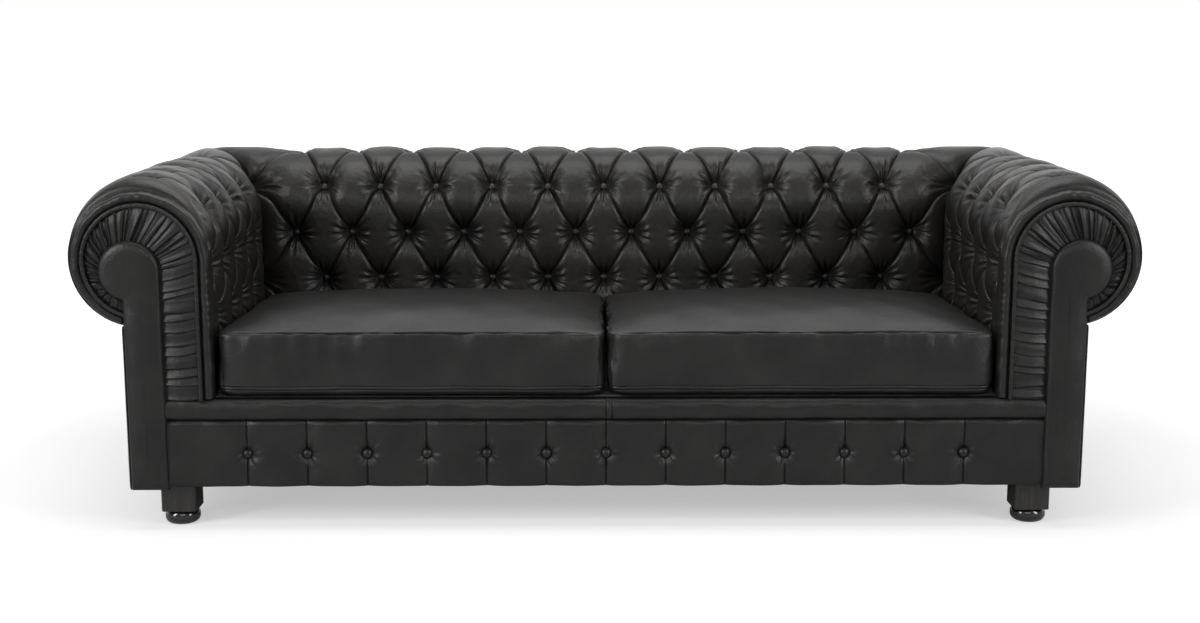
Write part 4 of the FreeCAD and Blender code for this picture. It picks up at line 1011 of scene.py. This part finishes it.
# Feet: turned wooden buns in glossy black lacquer, under square blocks that are stained black. A
# steel bolt holds each foot to the frame.
def solid_finish(name, dark, light, scale, stretch, rough, metal=0.0, coat=0.0, bump=0.3, depth=0.0006):
    """A finish with streaks or specks: scale is how fine they are, and stretch draws them out."""
    paint = bpy.data.materials.new(name)
    paint.use_nodes = True
    tree = paint.node_tree
    new = tree.nodes.new
    join = tree.links.new
    shader = tree.nodes["Principled BSDF"]
    drawn = new("ShaderNodeMapping")
    drawn.inputs["Scale"].default_value = stretch
    join(new("ShaderNodeTexCoord").outputs["Object"], drawn.inputs["Vector"])
    streaks = new("ShaderNodeTexNoise")
    streaks.inputs["Scale"].default_value = scale
    streaks.inputs["Detail"].default_value = 7
    join(drawn.outputs["Vector"], streaks.inputs["Vector"])
    tint = new("ShaderNodeValToRGB")
    tint.color_ramp.elements[0].position = 0.35
    tint.color_ramp.elements[0].color = (*dark, 1)
    tint.color_ramp.elements[1].position = 0.68
    tint.color_ramp.elements[1].color = (*light, 1)
    join(streaks.outputs["Fac"], tint.inputs["Fac"])
    join(tint.outputs["Color"], shader.inputs["Base Color"])
    uneven = new("ShaderNodeBump")
    uneven.inputs["Strength"].default_value = bump
    uneven.inputs["Distance"].default_value = depth
    join(streaks.outputs["Fac"], uneven.inputs["Height"])
    join(uneven.outputs["Normal"], shader.inputs["Normal"])
    shader.inputs["Roughness"].default_value = rough
    shader.inputs["Metallic"].default_value = metal
    shader.inputs["Coat Weight"].default_value = coat
    shader.inputs["Coat Roughness"].default_value = 0.08
    return paint


lacquer = solid_finish(
    "black_lacquer", (0.005, 0.005, 0.005), (0.010, 0.0095, 0.009), 30, (1, 1, 0.3), 0.16,
    coat=0.8, bump=0.05,
)
block_stain = solid_finish(
    "black_stain", (0.010, 0.0095, 0.009), (0.022, 0.020, 0.018), 24, (6, 6, 0.8), 0.42, bump=0.25
)
finish_nodes(
    lacquer, ("front_left_bun_foot", "front_right_bun_foot", "rear_left_bun_foot", "rear_right_bun_foot")
)
finish_nodes(block_stain, ("foot_blocks",))

# Dust cover: thin black non-woven cloth, stapled under the rails. It hangs down a little in the two
# bays beside the middle rail.
DUST_SAG = 0.006
dust_low, dust_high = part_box("dust_cover")
dust_half = [(dust_high[axis] - dust_low[axis]) / 2 for axis in range(3)]
dust_middle = [(dust_high[axis] + dust_low[axis]) / 2 for axis in range(3)]
bm = bmesh.new()
bmesh.ops.create_grid(bm, x_segments=120, y_segments=48, size=1)
for vert in bm.verts:
    x, y, _ = vert.co
    hang = math.sin(math.pi * abs(x)) ** 2 * math.cos(math.pi * y / 2) ** 2
    vert.co = (
        dust_middle[0] + x * dust_half[0],
        dust_middle[1] + y * dust_half[1],
        dust_middle[2] - DUST_SAG * hang,
    )
bmesh.ops.reverse_faces(bm, faces=bm.faces)
dust_cloth = cloth("dust_cloth", (0.011, 0.011, 0.012), (0.026, 0.026, 0.027), 260)
dust = piece("stapled_dust_cover", bm, dust_cloth, "sofa_frame")
fabric = dust.modifiers.new("thickness", "SOLIDIFY")
fabric.thickness = 0.0008
fabric.offset = 0
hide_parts("dust_cover")

# The frame inside: sawn beech rails, posts and glued corner blocks, and plywood scroll boards and
# formers, which give the arms and the back their shape.
beech = solid_finish("beech", (0.44, 0.28, 0.15), (0.66, 0.47, 0.29), 9, (1, 7, 7), 0.62)
finish_nodes(beech, (
    "front_rail", "rear_rail", "left_side_rail", "right_side_rail", "centre_cross_rail",
    "left_rear_post", "right_rear_post", "back_top_rail", "back_tack_rail",
    "left_arm_top_rail", "right_arm_top_rail", "left_arm_tack_rail", "right_arm_tack_rail",
    "corner_blocks",
))
plywood = solid_finish("plywood", (0.50, 0.35, 0.20), (0.70, 0.53, 0.34), 7, (9, 9, 1), 0.66)
finish_nodes(plywood, (
    "left_scroll_board", "right_scroll_board", "left_arm_former", "right_arm_former", "back_formers",
))

# The seat's zigzag springs, bent from bright steel wire and held in clips on the front and rear
# rails, and the bolts of the feet, of the same steel.
steel = solid_finish("spring_steel", (0.36, 0.36, 0.37), (0.52, 0.52, 0.53), 60, (1, 1, 1), 0.32, metal=1.0)
finish_nodes(steel, ("seat_springs", "spring_clips", "foot_bolts"))

# Linings and fillings inside: needled felt over the springs, foam in the platform and the rolls,
# and hessian behind the tufted pads.
felt = solid_finish(
    "needled_felt", (0.17, 0.17, 0.17), (0.33, 0.33, 0.32), 180, (1, 1, 1), 0.95, depth=0.001
)
foam = solid_finish("upholstery_foam", (0.68, 0.63, 0.50), (0.82, 0.78, 0.66), 320, (1, 1, 1), 0.9)
hessian = cloth("hessian", (0.30, 0.21, 0.11), (0.52, 0.39, 0.22), 90)
finish_nodes(felt, ("spring_insulator",))
finish_nodes(foam, ("deck_pad", "back_roll_core", "left_arm_roll_core", "right_arm_roll_core"))
finish_nodes(hessian, ("back_backing", "left_arm_backing", "right_arm_backing"))
